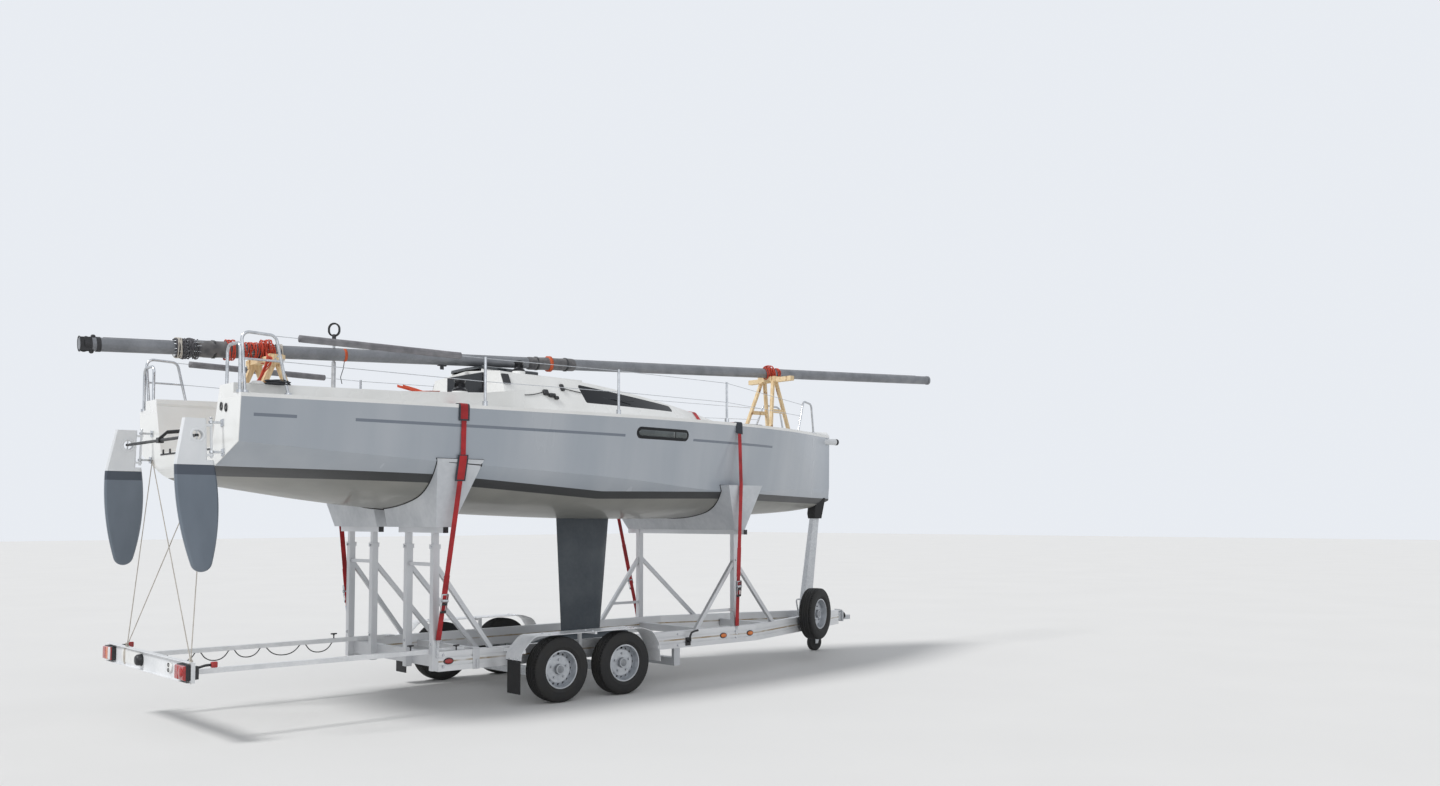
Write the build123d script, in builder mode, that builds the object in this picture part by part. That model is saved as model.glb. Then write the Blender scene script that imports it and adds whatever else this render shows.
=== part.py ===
# A small racing yacht of about eight metres, parked on its road trailer with the mast laid on deck.
# Millimetres. +X points to the bow, +Y to port, +Z up. The origin is on the ground, on the
# centreline, midway between the trailer's two axles.
import os
from math import cos, radians, sin, sqrt

from build123d import *

os.makedirs("parts", exist_ok=True)

SIDES = {"port": 1, "starboard": -1}


def save(part, label):
    part.label = label
    export_step(part, f"parts/{label}.step")


def bar(start, end, width, depth=None, wall=0):
    """A straight bar or tube of rectangular section, width across and depth upright."""
    run = Vector(*end) - Vector(*start)
    side = Vector(0, 1, 0) if abs(run.Y) < 0.9 * run.length else Vector(1, 0, 0)
    with BuildPart(mode=Mode.PRIVATE) as piece:
        with BuildSketch(Plane(origin=start, x_dir=side.cross(run), z_dir=run)):
            Rectangle(depth or width, width)
            if wall:
                Rectangle((depth or width) - 2 * wall, width - 2 * wall, mode=Mode.SUBTRACT)
        extrude(amount=run.length)
    return piece.part


def rod(start, end, radius, bore=0):
    """A straight round bar, or a tube when bore is given."""
    run = Vector(*end) - Vector(*start)
    with BuildPart(mode=Mode.PRIVATE) as piece:
        with BuildSketch(Plane(origin=start, z_dir=run)):
            Circle(radius)
            if bore:
                Circle(bore, mode=Mode.SUBTRACT)
        extrude(amount=run.length)
    return piece.part


def bent_rod(points, bend, radius):
    """A round tube that follows straight runs joined by arcs."""
    with BuildPart(mode=Mode.PRIVATE) as piece:
        with BuildLine() as route:
            FilletPolyline(*points, radius=bend)
        with BuildSketch(Plane(origin=route.line @ 0, z_dir=route.line % 0)):
            Circle(radius)
        sweep(path=route.line)
    return piece.part


# Hull stations, from the transom to the stem. At each x: the height of the centreline, the point
# where the flat floor turns into the bilge, the chine, and the sheer's half width.
sheer_aft_z = 2680
sheer_rise = 0.0104
transom_x = -3410
stem_x = 4580
stations = (
    # x, keel_z, floor_y, floor_z, chine_y, chine_z, sheer_y
    (transom_x, 2020, 700, 2140, 1156, 2306, 1195),
    (-1740, 1812, 720, 1896, 1215, 2202, 1262),
    (300, 1712, 660, 1788, 1150, 2100, 1250),
    (1800, 1706, 560, 1766, 955, 2000, 1075),
    (3000, 1742, 350, 1802, 640, 2030, 762),
    (3950, 1800, 130, 1840, 270, 2070, 352),
    (4350, 1868, 60, 1905, 120, 2082, 160),
    (stem_x, 1925, 20, 1945, 32, 2092, 42),
)
skin = 18
deck_crown = 45
deck_thick = 28


def sheer_z(x):
    return sheer_aft_z + sheer_rise * (x - transom_x)


def table_at(table, x):
    """A table's values at x, on smooth curves through its rows."""
    rows = len(table)
    place = max(i for i in range(rows - 1) if table[i][0] <= x or i == 0)
    slopes = []
    for i in (place, place + 1):
        aft, fore = table[max(i - 1, 0)], table[min(i + 1, rows - 1)]
        slopes.append([(b - a) / (fore[0] - aft[0]) for a, b in zip(aft[1:], fore[1:])])
    near, far = table[place], table[place + 1]
    run = far[0] - near[0]
    t = (x - near[0]) / run
    values = []
    for a, b, start, end in zip(near[1:], far[1:], *slopes):
        values.append(
            a * (2 * t**3 - 3 * t**2 + 1)
            + start * run * (t**3 - 2 * t**2 + t)
            + b * (3 * t**2 - 2 * t**3)
            + end * run * (t**3 - t**2)
        )
    return values


def hull_section(x, keel_z, floor_y, floor_z, chine_y, chine_z, sheer_y, grow):
    """One closed section of the boat, in the plane across x, grown outwards by grow."""
    top = sheer_z(x) + grow
    with BuildSketch(Plane(origin=(x, 0, 0), x_dir=(0, 1, 0), z_dir=(1, 0, 0))) as section:
        with BuildLine():
            floor = TangentArc((0, keel_z - grow), (floor_y + grow / 2, floor_z - grow), tangent=(1, 0))
            TangentArc(floor @ 1, (chine_y + grow, chine_z), tangent=floor % 1)
            Line((chine_y + grow, chine_z), (sheer_y + grow, top))
            Line((sheer_y + grow, top), (0, top + deck_crown))
            mirror(about=Plane.YZ)
        make_face()
    return section.sketch


section_count = 11
section_xs = [
    transom_x + (stem_x - transom_x) * i / (section_count - 1) for i in range(section_count)
]
with BuildPart(mode=Mode.PRIVATE) as outer_loft:
    loft([hull_section(x, *table_at(stations, x), 0) for x in section_xs])
outer_body = outer_loft.part


def sheer_samples(body, count=160):
    """Points along the port sheer of a lofted body, from aft to fore."""
    lines = [e for e in body.edges() if e.length > 7000]
    sheer = max(lines, key=lambda e: (e @ 0.5).Y)
    points = sorted((sheer @ (i / count) for i in range(count + 1)), key=lambda p: p.X)
    return [(p.X, p.Y) for p in points]


sheer_points = sheer_samples(outer_body)


def edge_y(x):
    """The deck's half width at x."""
    for (x0, y0), (x1, y1) in zip(sheer_points, sheer_points[1:]):
        if x <= x1:
            return y0 + (y1 - y0) * (x - x0) / (x1 - x0)
    return sheer_points[-1][1]


def deck_z(x, y):
    """The height of the cambered deck at a point."""
    return sheer_z(x) + deck_crown * (1 - abs(y) / edge_y(x))


foot_gap = 0.2


def under_foot(x, y, size=110, deep=90):
    """The block of space just under the deck at a point, for cutting a foot to seat on it."""
    lean = (deck_crown / edge_y(x)) * (1 if y > 0 else -1)
    slope = (deck_z(x + 10, y) - deck_z(x - 10, y)) / 20
    plane = Plane(origin=(x, y, deck_z(x, y) + foot_gap), x_dir=(1, 0, slope), z_dir=(-slope, lean, 1))
    with BuildPart(mode=Mode.PRIVATE) as block:
        with BuildSketch(plane.offset(-deep)):
            Rectangle(size, size)
        extrude(amount=deep)
    return block.part


# The stem is solid: the hollow stops short of it.
hollow_xs = [transom_x + skin] + section_xs[1:-1] + [stem_x - 220]
with BuildPart(mode=Mode.PRIVATE) as inner_body:
    loft([hull_section(x, *table_at(stations, x), -skin) for x in hollow_xs])

# Where deck and hull meet: a plane a little under the sheer.
joint_drop = 30
joint_plane = Plane(
    origin=(transom_x, 0, sheer_aft_z - joint_drop), z_dir=(-sheer_rise, 0, 1)
)

# Cockpit: a well that is open through the transom.
sole_z = 2285
sole_half = 600
well_top_half = 800
well_front_x = -760
well_wall = 22
well_top_z = 2900

# Coachroof stations: half width at the deck, half width and height of the roof's shoulder, crown.
roof_stations = (
    # x, base_y, shoulder_y, shoulder_z, crown_z
    (-740, 830, 610, 3120, 3168),
    (300, 800, 560, 3085, 3148),
    (1300, 700, 440, 2985, 3052),
    (2100, 480, 270, 2880, 2930),
    (2640, 300, 140, 2800, 2815),
)
roof_base_z = 2660
roof_wall = 24

# Coaming beside the cockpit, by height along its length.
coaming_inner = 745
coaming_outer = 1040
coaming_profile = ((transom_x, 2768), (-2000, 2800), (-1150, 2845), (-740, 2900))

# Companionway and hatches.
entry_half = 330
entry_sill_z = 2560
entry_top_z = 3128
hatch_hole = (-700, -130)
hatch_half = 300
hatch_thick = 26
fore_hatch_x = (2760, 3200)
fore_hatch_half = 225
fore_hatch_thick = 22
fore_hinge_ys = (-150, 150)
fore_hinge_reach = 11
fore_knuckle_half = 12
fore_knuckle_radius = 6
fore_pin_radius = 3
fore_lug_thick = 6
fore_lug_gap = 5

# Bowsprit tube.
sprit_y = -70
sprit_z = 2684
sprit_radius = 40
sprit_aft_x = 3350
sprit_tip_x = 4695
sprit_gap = 1


roof_count = 7
roof_xs = [
    roof_stations[0][0] + (roof_stations[-1][0] - roof_stations[0][0]) * i / (roof_count - 1)
    for i in range(roof_count)
]


def roof_body(inset):
    """The coachroof as one closed body, set in by inset."""
    sections = []
    for x in roof_xs:
        base_y, shoulder_y, shoulder_z, crown_z = table_at(roof_stations, x)
        place = min(max(x, roof_xs[0] + inset), roof_xs[-1] - inset)
        with BuildSketch(
            Plane(origin=(place, 0, 0), x_dir=(0, 1, 0), z_dir=(1, 0, 0)), mode=Mode.PRIVATE
        ) as section:
            with BuildLine():
                Polyline(
                    (0, roof_base_z),
                    (base_y - inset, roof_base_z),
                    (shoulder_y - inset, shoulder_z - inset),
                    (0, crown_z - inset),
                )
                mirror(about=Plane.YZ)
            make_face()
        sections.append(section.sketch)
    with BuildPart(mode=Mode.PRIVATE) as body:
        loft(sections)
    return body.part


def well_prism(grow, start_x, end_x, top_z):
    """The cockpit's space, grown by grow, from start_x to end_x and up to top_z."""
    lean = (well_top_half - sole_half) / (well_top_z - sole_z)
    top_half = sole_half + lean * (top_z - sole_z) + grow
    with BuildPart(mode=Mode.PRIVATE) as prism:
        with BuildSketch(Plane(origin=(start_x, 0, 0), x_dir=(0, 1, 0), z_dir=(1, 0, 0))):
            with BuildLine():
                Polyline(
                    (-sole_half - grow + lean * grow, sole_z - grow),
                    (sole_half + grow - lean * grow, sole_z - grow),
                    (top_half, top_z),
                    (-top_half, top_z),
                    close=True,
                )
            make_face()
        extrude(amount=end_x - start_x)
    return prism.part



window_gap = 0.3
pane_thick = 8
hull_window_x = (454, 1200)
hull_window_z = (2495, 2612)


def hull_window_prism(gap):
    """The outline of the topsides' window, right across the boat, smaller by gap."""
    with BuildPart(mode=Mode.PRIVATE) as prism:
        with BuildSketch(Plane.XZ):
            with Locations((sum(hull_window_x) / 2, sum(hull_window_z) / 2)):
                SlotOverall(
                    hull_window_x[1] - hull_window_x[0] - 2 * gap,
                    hull_window_z[1] - hull_window_z[0] - 2 * gap,
                )
        extrude(amount=1500, both=True)
    return prism.part


roof_window = ((180, 3056), (1540, 2934), (1575, 2868), (230, 2866))
roof_window_corner = 25


def roof_window_prism(gap):
    """The outline of the coachroof's long window, right across the boat, smaller by gap."""
    with BuildPart(mode=Mode.PRIVATE) as prism:
        with BuildSketch(Plane.XZ) as outline:
            with BuildLine():
                Polyline(*roof_window, close=True)
            make_face()
            fillet(outline.vertices(), roof_window_corner)
            if gap:
                offset(amount=-gap, mode=Mode.REPLACE)
        extrude(amount=1500, both=True)
    return prism.part


# Hull: one open shell, cut away at the transom for the cockpit, with a port for the bowsprit.
with BuildPart() as hull:
    add(outer_body)
    split(bisect_by=joint_plane, keep=Keep.BOTTOM)
    add(inner_body.part, mode=Mode.SUBTRACT)
    add(well_prism(well_wall, transom_x - 50, transom_x + 60, well_top_z), mode=Mode.SUBTRACT)
    add(hull_window_prism(0), mode=Mode.SUBTRACT)
    with BuildSketch(Plane(origin=(sprit_aft_x, sprit_y, sprit_z), z_dir=(1, 0, 0))):
        Circle(sprit_radius + sprit_gap)
    extrude(amount=stem_x - sprit_aft_x + 200, mode=Mode.SUBTRACT)
save(hull.part, "hull")

winches = (
    # name, x, y, foot_z, foot_radius, height
    ("winch_coaming_port", -1340, 900, 2838, 66, 112),
    ("winch_coaming_starboard", -1340, -900, 2838, 66, 112),
    ("winch_roof_port", -420, 450, 3136, 60, 105),
    ("winch_roof_starboard", -420, -450, 3136, 60, 105),
)
spindle_radius = 12
winch_seat = 14
seat_gap = 0.3
pin_gap = 0.08

# The sliding hatch runs forward on two straight rails.
hatch_x = (-736, -90)
hatch_travel = 550
hatch_slope = 0.0192
hatch_rail_z = 3166
hatch_rail_y = 285
hatch_rail_wide = 22
hatch_skirt = 30
hatch_rise = 34


def hatch_plane(x):
    """The plane across the hatch's run at x, its origin at the rails' top."""
    origin = (x, 0, hatch_rail_z - hatch_slope * (x - hatch_x[0]))
    return Plane(origin=origin, x_dir=(0, 1, 0), z_dir=(1, 0, -hatch_slope))


# Deck: the lid of the boat, with its cockpit well, coamings and coachroof moulded in one.
with BuildPart() as deck:
    add(outer_body)
    split(bisect_by=joint_plane, keep=Keep.TOP)
    add(inner_body.part, mode=Mode.SUBTRACT)
    for side in SIDES.values():
        coaming_start = coaming_inner if side < 0 else -coaming_outer
        with BuildSketch(Plane.XZ.offset(coaming_start)):
            with BuildLine():
                Polyline(
                    *coaming_profile,
                    (coaming_profile[-1][0], sheer_aft_z + 10),
                    (transom_x, sheer_aft_z),
                    close=True,
                )
            make_face()
        extrude(amount=coaming_outer - coaming_inner)
    add(well_prism(well_wall, transom_x, well_front_x + well_wall, sheer_z(well_front_x)))
    add(roof_body(0))
    add(well_prism(0, transom_x - 50, well_front_x, well_top_z), mode=Mode.SUBTRACT)
    # Companionway, hatch hole in the roof and the long windows.
    entry_height = entry_top_z - entry_sill_z
    with Locations((well_front_x, 0, entry_sill_z + entry_height / 2)):
        Box(120, 2 * entry_half, entry_height, mode=Mode.SUBTRACT)
    hatch_hole_length = hatch_hole[1] - hatch_hole[0]
    with Locations((sum(hatch_hole) / 2, 0, roof_stations[0][-1])):
        Box(hatch_hole_length, 2 * hatch_half - 40, 200, mode=Mode.SUBTRACT)
    add(roof_window_prism(0), mode=Mode.SUBTRACT)
    # Foredeck hatch: a raised frame with a clear opening.
    fore_frame_z = sheer_z(fore_hatch_x[1]) + deck_crown + 8
    fore_frame_wall = 28
    fore_length = fore_hatch_x[1] - fore_hatch_x[0]
    fore_mid_x = sum(fore_hatch_x) / 2
    frame_height = 50
    with Locations((fore_mid_x, 0, fore_frame_z - frame_height / 2)):
        Box(fore_length, 2 * fore_hatch_half, frame_height)
        Box(
            fore_length - 2 * fore_frame_wall,
            2 * (fore_hatch_half - fore_frame_wall),
            3 * frame_height,
            mode=Mode.SUBTRACT,
        )
    # Lugs and pins of the hatch's two hinges, just ahead of the frame.
    fore_hinge_x = fore_hatch_x[1] + fore_hinge_reach
    fore_hinge_z = fore_frame_z + seat_gap + fore_knuckle_radius
    lug_foot = (fore_hatch_x[1] - 1, fore_hinge_x + 4)
    lug_head = (fore_hinge_x - 6, fore_hinge_x + 4)
    for y in fore_hinge_ys:
        pin_half = fore_knuckle_half + fore_lug_gap + fore_lug_thick
        for way in (-1, 1):
            lug_y = y + way * (pin_half - fore_lug_thick / 2)
            for (x0, x1), top_z in ((lug_foot, fore_frame_z), (lug_head, fore_hinge_z + 4)):
                with Locations(((x0 + x1) / 2, lug_y, (fore_frame_z - 20 + top_z) / 2)):
                    Box(x1 - x0, fore_lug_thick, top_z - fore_frame_z + 20)
        add(rod((fore_hinge_x, y - pin_half, fore_hinge_z), (fore_hinge_x, y + pin_half, fore_hinge_z), fore_pin_radius))
    # Rails that the sliding hatch runs on, and the winches' seats and spindles.
    with BuildSketch(hatch_plane(hatch_x[0])):
        with Locations((hatch_rail_y, -40), (-hatch_rail_y, -40)):
            Rectangle(hatch_rail_wide, 80)
    extrude(amount=hatch_x[1] - hatch_x[0] + hatch_travel)
    for name, x, y, foot_z, foot_radius, height in winches:
        with BuildSketch(Plane(origin=(x, y, foot_z - 70))):
            Circle(foot_radius + 4)
        extrude(amount=70 + winch_seat)
        with BuildSketch(Plane(origin=(x, y, foot_z))):
            Circle(spindle_radius)
        extrude(amount=height - 10)
    add(roof_body(roof_wall), mode=Mode.SUBTRACT)
save(deck.part, "deck")

# Windows: dark acrylic panes set flush in the topsides and the coachroof, and the washboard.
with BuildPart() as windows:
    roof_shell = roof_body(0)
    for side in SIDES.values():
        inward = Location((0, -side * pane_thick, 0))
        half = Box(20000, 3000, 8000, align=(Align.CENTER, Align.MIN, Align.CENTER), mode=Mode.PRIVATE)
        if side < 0:
            half = half.mirror(Plane.XZ)
        add((hull_window_prism(window_gap) & outer_body & half) - outer_body.moved(inward))
        add((roof_window_prism(window_gap) & roof_shell & half) - roof_shell.moved(inward))
    washboard_thick = 10
    with Locations((well_front_x + washboard_thick / 2, 0, entry_sill_z + entry_height / 2)):
        Box(washboard_thick, 2 * (entry_half - window_gap), entry_height - 2 * window_gap)
save(windows.part, "windows")

# Sliding hatch: a low lid with a skirt on each side that rests on the rails.
with BuildPart() as sliding_hatch:
    with BuildSketch(hatch_plane(hatch_x[0])):
        with BuildLine():
            Polyline(
                (0, hatch_rise - hatch_thick + 4),
                (hatch_half - hatch_skirt, hatch_rise - hatch_thick),
                (hatch_half - hatch_skirt, seat_gap),
                (hatch_half, seat_gap),
                (hatch_half, hatch_rise - 8),
                (hatch_half - 14, hatch_rise),
                (0, hatch_rise + 4),
            )
            mirror(about=Plane.YZ)
        make_face()
    extrude(amount=hatch_x[1] - hatch_x[0])
save(sliding_hatch.part, "sliding_hatch")

# Foredeck hatch lid, hinged at its front edge.
with BuildPart() as fore_hatch:
    lid_z = fore_frame_z + seat_gap + fore_hatch_thick / 2
    with Locations((fore_mid_x, 0, lid_z)):
        Box(fore_length, 2 * fore_hatch_half, fore_hatch_thick)
    fillet(fore_hatch.edges().filter_by(Axis.Z), 30)
    chamfer(fore_hatch.faces().sort_by(Axis.Z)[-1].edges(), 5)
    tongue_x = (fore_hatch_x[1] - 10, fore_hinge_x)
    for y in fore_hinge_ys:
        knuckle = [(fore_hinge_x, y + way * fore_knuckle_half, fore_hinge_z) for way in (-1, 1)]
        add(rod(*knuckle, fore_knuckle_radius))
        with Locations((sum(tongue_x) / 2, y, fore_hinge_z - fore_knuckle_radius + 4)):
            Box(tongue_x[1] - tongue_x[0], 2 * fore_knuckle_half, 8)
        add(rod(*knuckle, fore_pin_radius + pin_gap), mode=Mode.SUBTRACT)
save(fore_hatch.part, "fore_hatch")

# Bowsprit: a tube that slides out through the stem, with a black end plug.
with BuildPart() as bowsprit:
    with BuildSketch(Plane(origin=(sprit_aft_x, sprit_y, sprit_z), z_dir=(1, 0, 0))):
        Circle(sprit_radius)
        Circle(sprit_radius - 5, mode=Mode.SUBTRACT)
    extrude(amount=sprit_tip_x - 30 - sprit_aft_x)
    with BuildSketch(Plane(origin=(sprit_tip_x - 30, sprit_y, sprit_z), z_dir=(1, 0, 0))):
        Circle(sprit_radius)
    extrude(amount=30)
    chamfer(bowsprit.faces().sort_by(Axis.X)[-1].edges(), 8)
save(bowsprit.part, "bowsprit")

# Keel: a cast fin with a torpedo bulb on its foot.
fin_root = (345, 1050)
fin_foot = (428, 918)
fin_foot_z = 430
fin_top_z = 1850
fin_root_thick = 95
fin_foot_thick = 70
bulb_x = (-20, 1330)
bulb_radius = 118
bulb_tail = 5
bulb_z = 418


def foil(aft_x, fore_x, thick, z):
    """A keel's section at height z: round nose in front, thin edge behind."""
    chord = fore_x - aft_x
    half = thick / 2
    with BuildSketch(Plane.XY.offset(z), mode=Mode.PRIVATE) as section:
        with BuildLine():
            Line((aft_x, 0), (aft_x, 2))
            TangentArc((fore_x - 0.35 * chord, half), (aft_x, 2), tangent=(-1, 0))
            ThreePointArc(
                (fore_x - 0.35 * chord, half), (fore_x - 0.08 * chord, 0.62 * half), (fore_x, 0)
            )
            mirror(about=Plane.XZ)
        make_face()
    return section.sketch


with BuildPart(mode=Mode.PRIVATE) as bulb_shape:
    with BuildSketch(Plane.XZ) as bulb_outline:
        nose_x = bulb_x[1] - 0.38 * (bulb_x[1] - bulb_x[0])
        shoulder = (bulb_x[1] - 0.4 * bulb_radius, bulb_z + 0.62 * bulb_radius)
        with BuildLine():
            Line((bulb_x[0], bulb_z), (bulb_x[1], bulb_z))
            TangentArc((bulb_x[1], bulb_z), shoulder, tangent=(0, 1))
            TangentArc((nose_x, bulb_z + bulb_radius), shoulder, tangent=(1, 0))
            TangentArc(
                (nose_x, bulb_z + bulb_radius), (bulb_x[0], bulb_z + bulb_tail), tangent=(-1, 0)
            )
            Line((bulb_x[0], bulb_z + bulb_tail), (bulb_x[0], bulb_z))
        make_face()
    revolve(axis=Axis((0, 0, bulb_z), (1, 0, 0)))

with BuildPart() as keel_fin:
    loft([foil(*fin_foot, fin_foot_thick, fin_foot_z), foil(*fin_root, fin_root_thick, fin_top_z)])
    add(outer_body, mode=Mode.SUBTRACT)
    add(bulb_shape.part, mode=Mode.SUBTRACT)
save(keel_fin.part, "keel_fin")
save(bulb_shape.part, "keel_bulb")

# Twin rudders. Each turns about a long pin that leans outwards towards its foot.
cant = 6
rudder_axis_x = -3500
rudder_axis_y = 852
rudder_axis_z = 2300
blade_thick = 42
pin_radius = 10
gudgeon_levels = (-70, 165)
lug_levels = (-95, 140)
lug_thick = 18
gudgeon_thick = 18
link_arm_x = -110
link_level = 58


def rudder_plane(side):
    """The pin's plane: X along the boat, Z up the pin, at the pin's reference point."""
    return Plane(
        origin=(rudder_axis_x, side * rudder_axis_y, rudder_axis_z),
        x_dir=(1, 0, 0),
        z_dir=(0, -side * sin(radians(cant)), cos(radians(cant))),
    )


link_pin_radius = 6
link_hole_radius = 38
for name, side in SIDES.items():
    frame = rudder_plane(side)
    blade_plane = Plane(origin=frame.origin, x_dir=frame.x_dir, z_dir=frame.x_dir.cross(frame.z_dir))
    with BuildPart() as rudder:
        with BuildSketch(blade_plane):
            with BuildLine():
                Polyline((-215, 190), (-38, 190), (-38, -137), (12, -137))
                ThreePointArc((12, -137), (44, -520), (-12, -940))
                ThreePointArc((-12, -940), (-85, -1000), (-170, -940))
                ThreePointArc((-170, -940), (-262, -520), (-280, -160))
                Line((-280, -160), (-215, 190))
            make_face()
        extrude(amount=blade_thick / 2, both=True)
        blade_faces = rudder.faces().filter_by(Axis((0, 0, 0), tuple(blade_plane.z_dir)))
        chamfer([e for f in blade_faces for e in f.edges() if e.length > 250], 14)
        # Lugs that hold the long pin, and the pin itself.
        for level in lug_levels:
            with BuildSketch(frame.offset(level - lug_thick / 2)):
                with Locations((-24, 0)):
                    Rectangle(48, 26)
                Circle(16)
            extrude(amount=lug_thick)
        with BuildSketch(frame.offset(-118)):
            Circle(pin_radius)
        extrude(amount=310)
        # Round hole for the link bar's end, and the upright pin across it.
        with BuildSketch(blade_plane):
            with Locations((link_arm_x, link_level)):
                Circle(link_hole_radius)
        extrude(amount=blade_thick, both=True, mode=Mode.SUBTRACT)
        with BuildSketch(frame.offset(link_level - link_hole_radius - 2)):
            with Locations((link_arm_x, 0)):
                Circle(link_pin_radius)
        extrude(amount=2 * link_hole_radius + 4)
    save(rudder.part, f"rudder_{name}")

# Gudgeons: four brackets on the transom with the bores that the pins turn in.
transom_gap_x = transom_x - rudder_axis_x
with BuildPart() as gudgeons:
    for side in SIDES.values():
        frame = rudder_plane(side)
        for level in gudgeon_levels:
            with BuildSketch(frame.offset(level - gudgeon_thick / 2)):
                with Locations((transom_gap_x / 2, 0)):
                    Rectangle(transom_gap_x, 26)
                Circle(19)
            extrude(amount=gudgeon_thick)
            with BuildSketch(frame.offset(level - 28)):
                with Locations((transom_gap_x - 4, 0)):
                    Rectangle(8, 60)
            extrude(amount=56)
        with BuildSketch(frame.offset(-300)):
            Circle(pin_radius + pin_gap)
        extrude(amount=700, mode=Mode.SUBTRACT)
    add(outer_body, mode=Mode.SUBTRACT)
save(gudgeons.part, "rudder_gudgeons")

# Link bar between the rudders, with an eye at each end and the tiller's knuckle in the middle.
star = rudder_plane(-1)
link_end = star.from_local_coords(Vector(link_arm_x, 0, link_level))
link_y = abs(link_end.Y)
link_z = link_end.Z
link_x = link_end.X
bar_radius = 13
shank_radius = 9
shank_length = 70
eye_radius = 15
eye_height = 18
port_eye_gap = 4.5
with BuildPart() as rudder_link:
    bar_half = link_y - shank_length
    add(rod((link_x, -link_y, link_z), (link_x, link_y, link_z), shank_radius))
    add(rod((link_x, -bar_half, link_z), (link_x, bar_half, link_z), bar_radius))
    for side in SIDES.values():
        eye_plane = Plane(origin=(link_x, side * link_y, link_z), z_dir=rudder_plane(side).z_dir)
        with BuildSketch(eye_plane.offset(-eye_height / 2)):
            Circle(eye_radius)
        extrude(amount=eye_height)
    with Locations((link_x, 0, link_z)):
        Box(44, 60, 44)
    add(bar((link_x, 0, link_z + 18), (link_x + 60, 0, link_z + 75), 22))
    add(rod((link_x + 55, 0, link_z + 70), (link_x + 230, 0, link_z + 92), 16))
    for side, gap in ((-1, pin_gap), (1, port_eye_gap)):
        eye_plane = Plane(origin=(link_x, side * link_y, link_z), z_dir=rudder_plane(side).z_dir)
        with BuildSketch(eye_plane.offset(-60)):
            Circle(link_pin_radius + gap)
        extrude(amount=120, mode=Mode.SUBTRACT)
save(rudder_link.part, "rudder_link")

# Winch drums, each turning on its spindle.
for name, x, y, foot_z, foot_radius, height in winches:
    base_z = foot_z + winch_seat + seat_gap
    with BuildPart() as winch:
        with BuildSketch(Plane(origin=(x, y, 0), x_dir=(1, 0, 0), z_dir=(0, -1, 0))):
            with BuildLine():
                Polyline(
                    (spindle_radius + pin_gap, base_z),
                    (foot_radius, base_z),
                    (foot_radius, base_z + 0.16 * height),
                )
                ThreePointArc(
                    (foot_radius, base_z + 0.16 * height),
                    (0.62 * foot_radius, base_z + 0.5 * height),
                    (0.82 * foot_radius, base_z + 0.86 * height),
                )
                Polyline(
                    (0.82 * foot_radius, base_z + 0.86 * height),
                    (0.66 * foot_radius, base_z + height),
                    (0, base_z + height),
                    (0, foot_z + height - 10 + 2),
                    (spindle_radius + pin_gap, foot_z + height - 10 + 2),
                    (spindle_radius + pin_gap, base_z),
                )
            make_face()
        revolve(axis=Axis((x, y, 0), (0, 0, 1)))
    save(winch.part, name)

# Mast: one oval spar laid along the centreline, with a black fitting on its aft end.
mast_aft = (-4239, 0, 3100)
mast_fore = (6718, 0, 3651)
mast_high = 57
mast_half_width = 44
mast_slope = (mast_fore[2] - mast_aft[2]) / (mast_fore[0] - mast_aft[0])


def mast_z(x):
    """The height of the mast's axis at x."""
    return mast_aft[2] + mast_slope * (x - mast_aft[0])


def on_mast(x0, x1, half_width, half_height):
    """An oval bar along the mast's axis between two x."""
    start = Vector(x0, 0, mast_z(x0))
    run = Vector(x1, 0, mast_z(x1)) - start
    with BuildPart(mode=Mode.PRIVATE) as piece:
        with BuildSketch(Plane(origin=start, x_dir=(0, 1, 0), z_dir=run)):
            Ellipse(half_width, half_height)
        extrude(amount=run.length)
    return piece.part


with BuildPart() as mast:
    add(on_mast(mast_aft[0] + 60, mast_fore[0] - 40, mast_half_width, mast_high))
    add(on_mast(mast_aft[0], mast_aft[0] + 60, mast_half_width - 8, mast_high - 8))
    add(on_mast(mast_fore[0] - 40, mast_fore[0], mast_half_width + 4, mast_high + 4))
save(mast.part, "mast")

# Wrapped bundle of stays at the mast's aft end, and a padded roll where it passes the roof.
bundle_parts = ((-3540, -2980, 82, 86), (-2980, -2840, 66, 72), (-2660, -2400, 62, 68))
with BuildPart() as rig_bundle:
    for x0, x1, half_width, half_height in bundle_parts:
        add(on_mast(x0, x1, half_width, half_height))
    add(mast.part, mode=Mode.SUBTRACT)
save(rig_bundle.part, "rig_bundle")
roll_x = (-30, 570)
with BuildPart() as mast_roll:
    add(on_mast(*roll_x, 72, 76))
    add(mast.part, mode=Mode.SUBTRACT)
save(mast_roll.part, "mast_roll")

# Aft trestle: two A-frames of sawn timber standing in the cockpit.
trestle_x = -2750
trestle_spread = 335
trestle_y = 225
timber = 45
with BuildPart() as aft_trestle:
    top_z = mast_z(trestle_x) - 30
    for side in SIDES.values():
        y = side * trestle_y
        for way in (-1, 1):
            add(
                bar(
                    (trestle_x + way * trestle_spread, y, sole_z + 12),
                    (trestle_x + way * 12, y, top_z - 70),
                    timber,
                )
            )
        add(bar((trestle_x - 205, y, 2640), (trestle_x + 205, y, 2640), 24, 60))
        add(bar((trestle_x - 60, y, top_z - 60), (trestle_x + 60, y, top_z - 60), 40, 90))
    add(bar((trestle_x, -310, top_z - 50), (trestle_x, 310, top_z - 50), 100, timber))
    for way in (-1, 1):
        add(bar((trestle_x + way * 190, -250, 2640), (trestle_x + way * 190, 250, 2640), 60, 24))
    add(mast.part, mode=Mode.SUBTRACT)
    with Locations((trestle_x, 0, sole_z - 100)):
        Box(1200, 1200, 200, mode=Mode.SUBTRACT)
save(aft_trestle.part, "aft_trestle")

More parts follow.
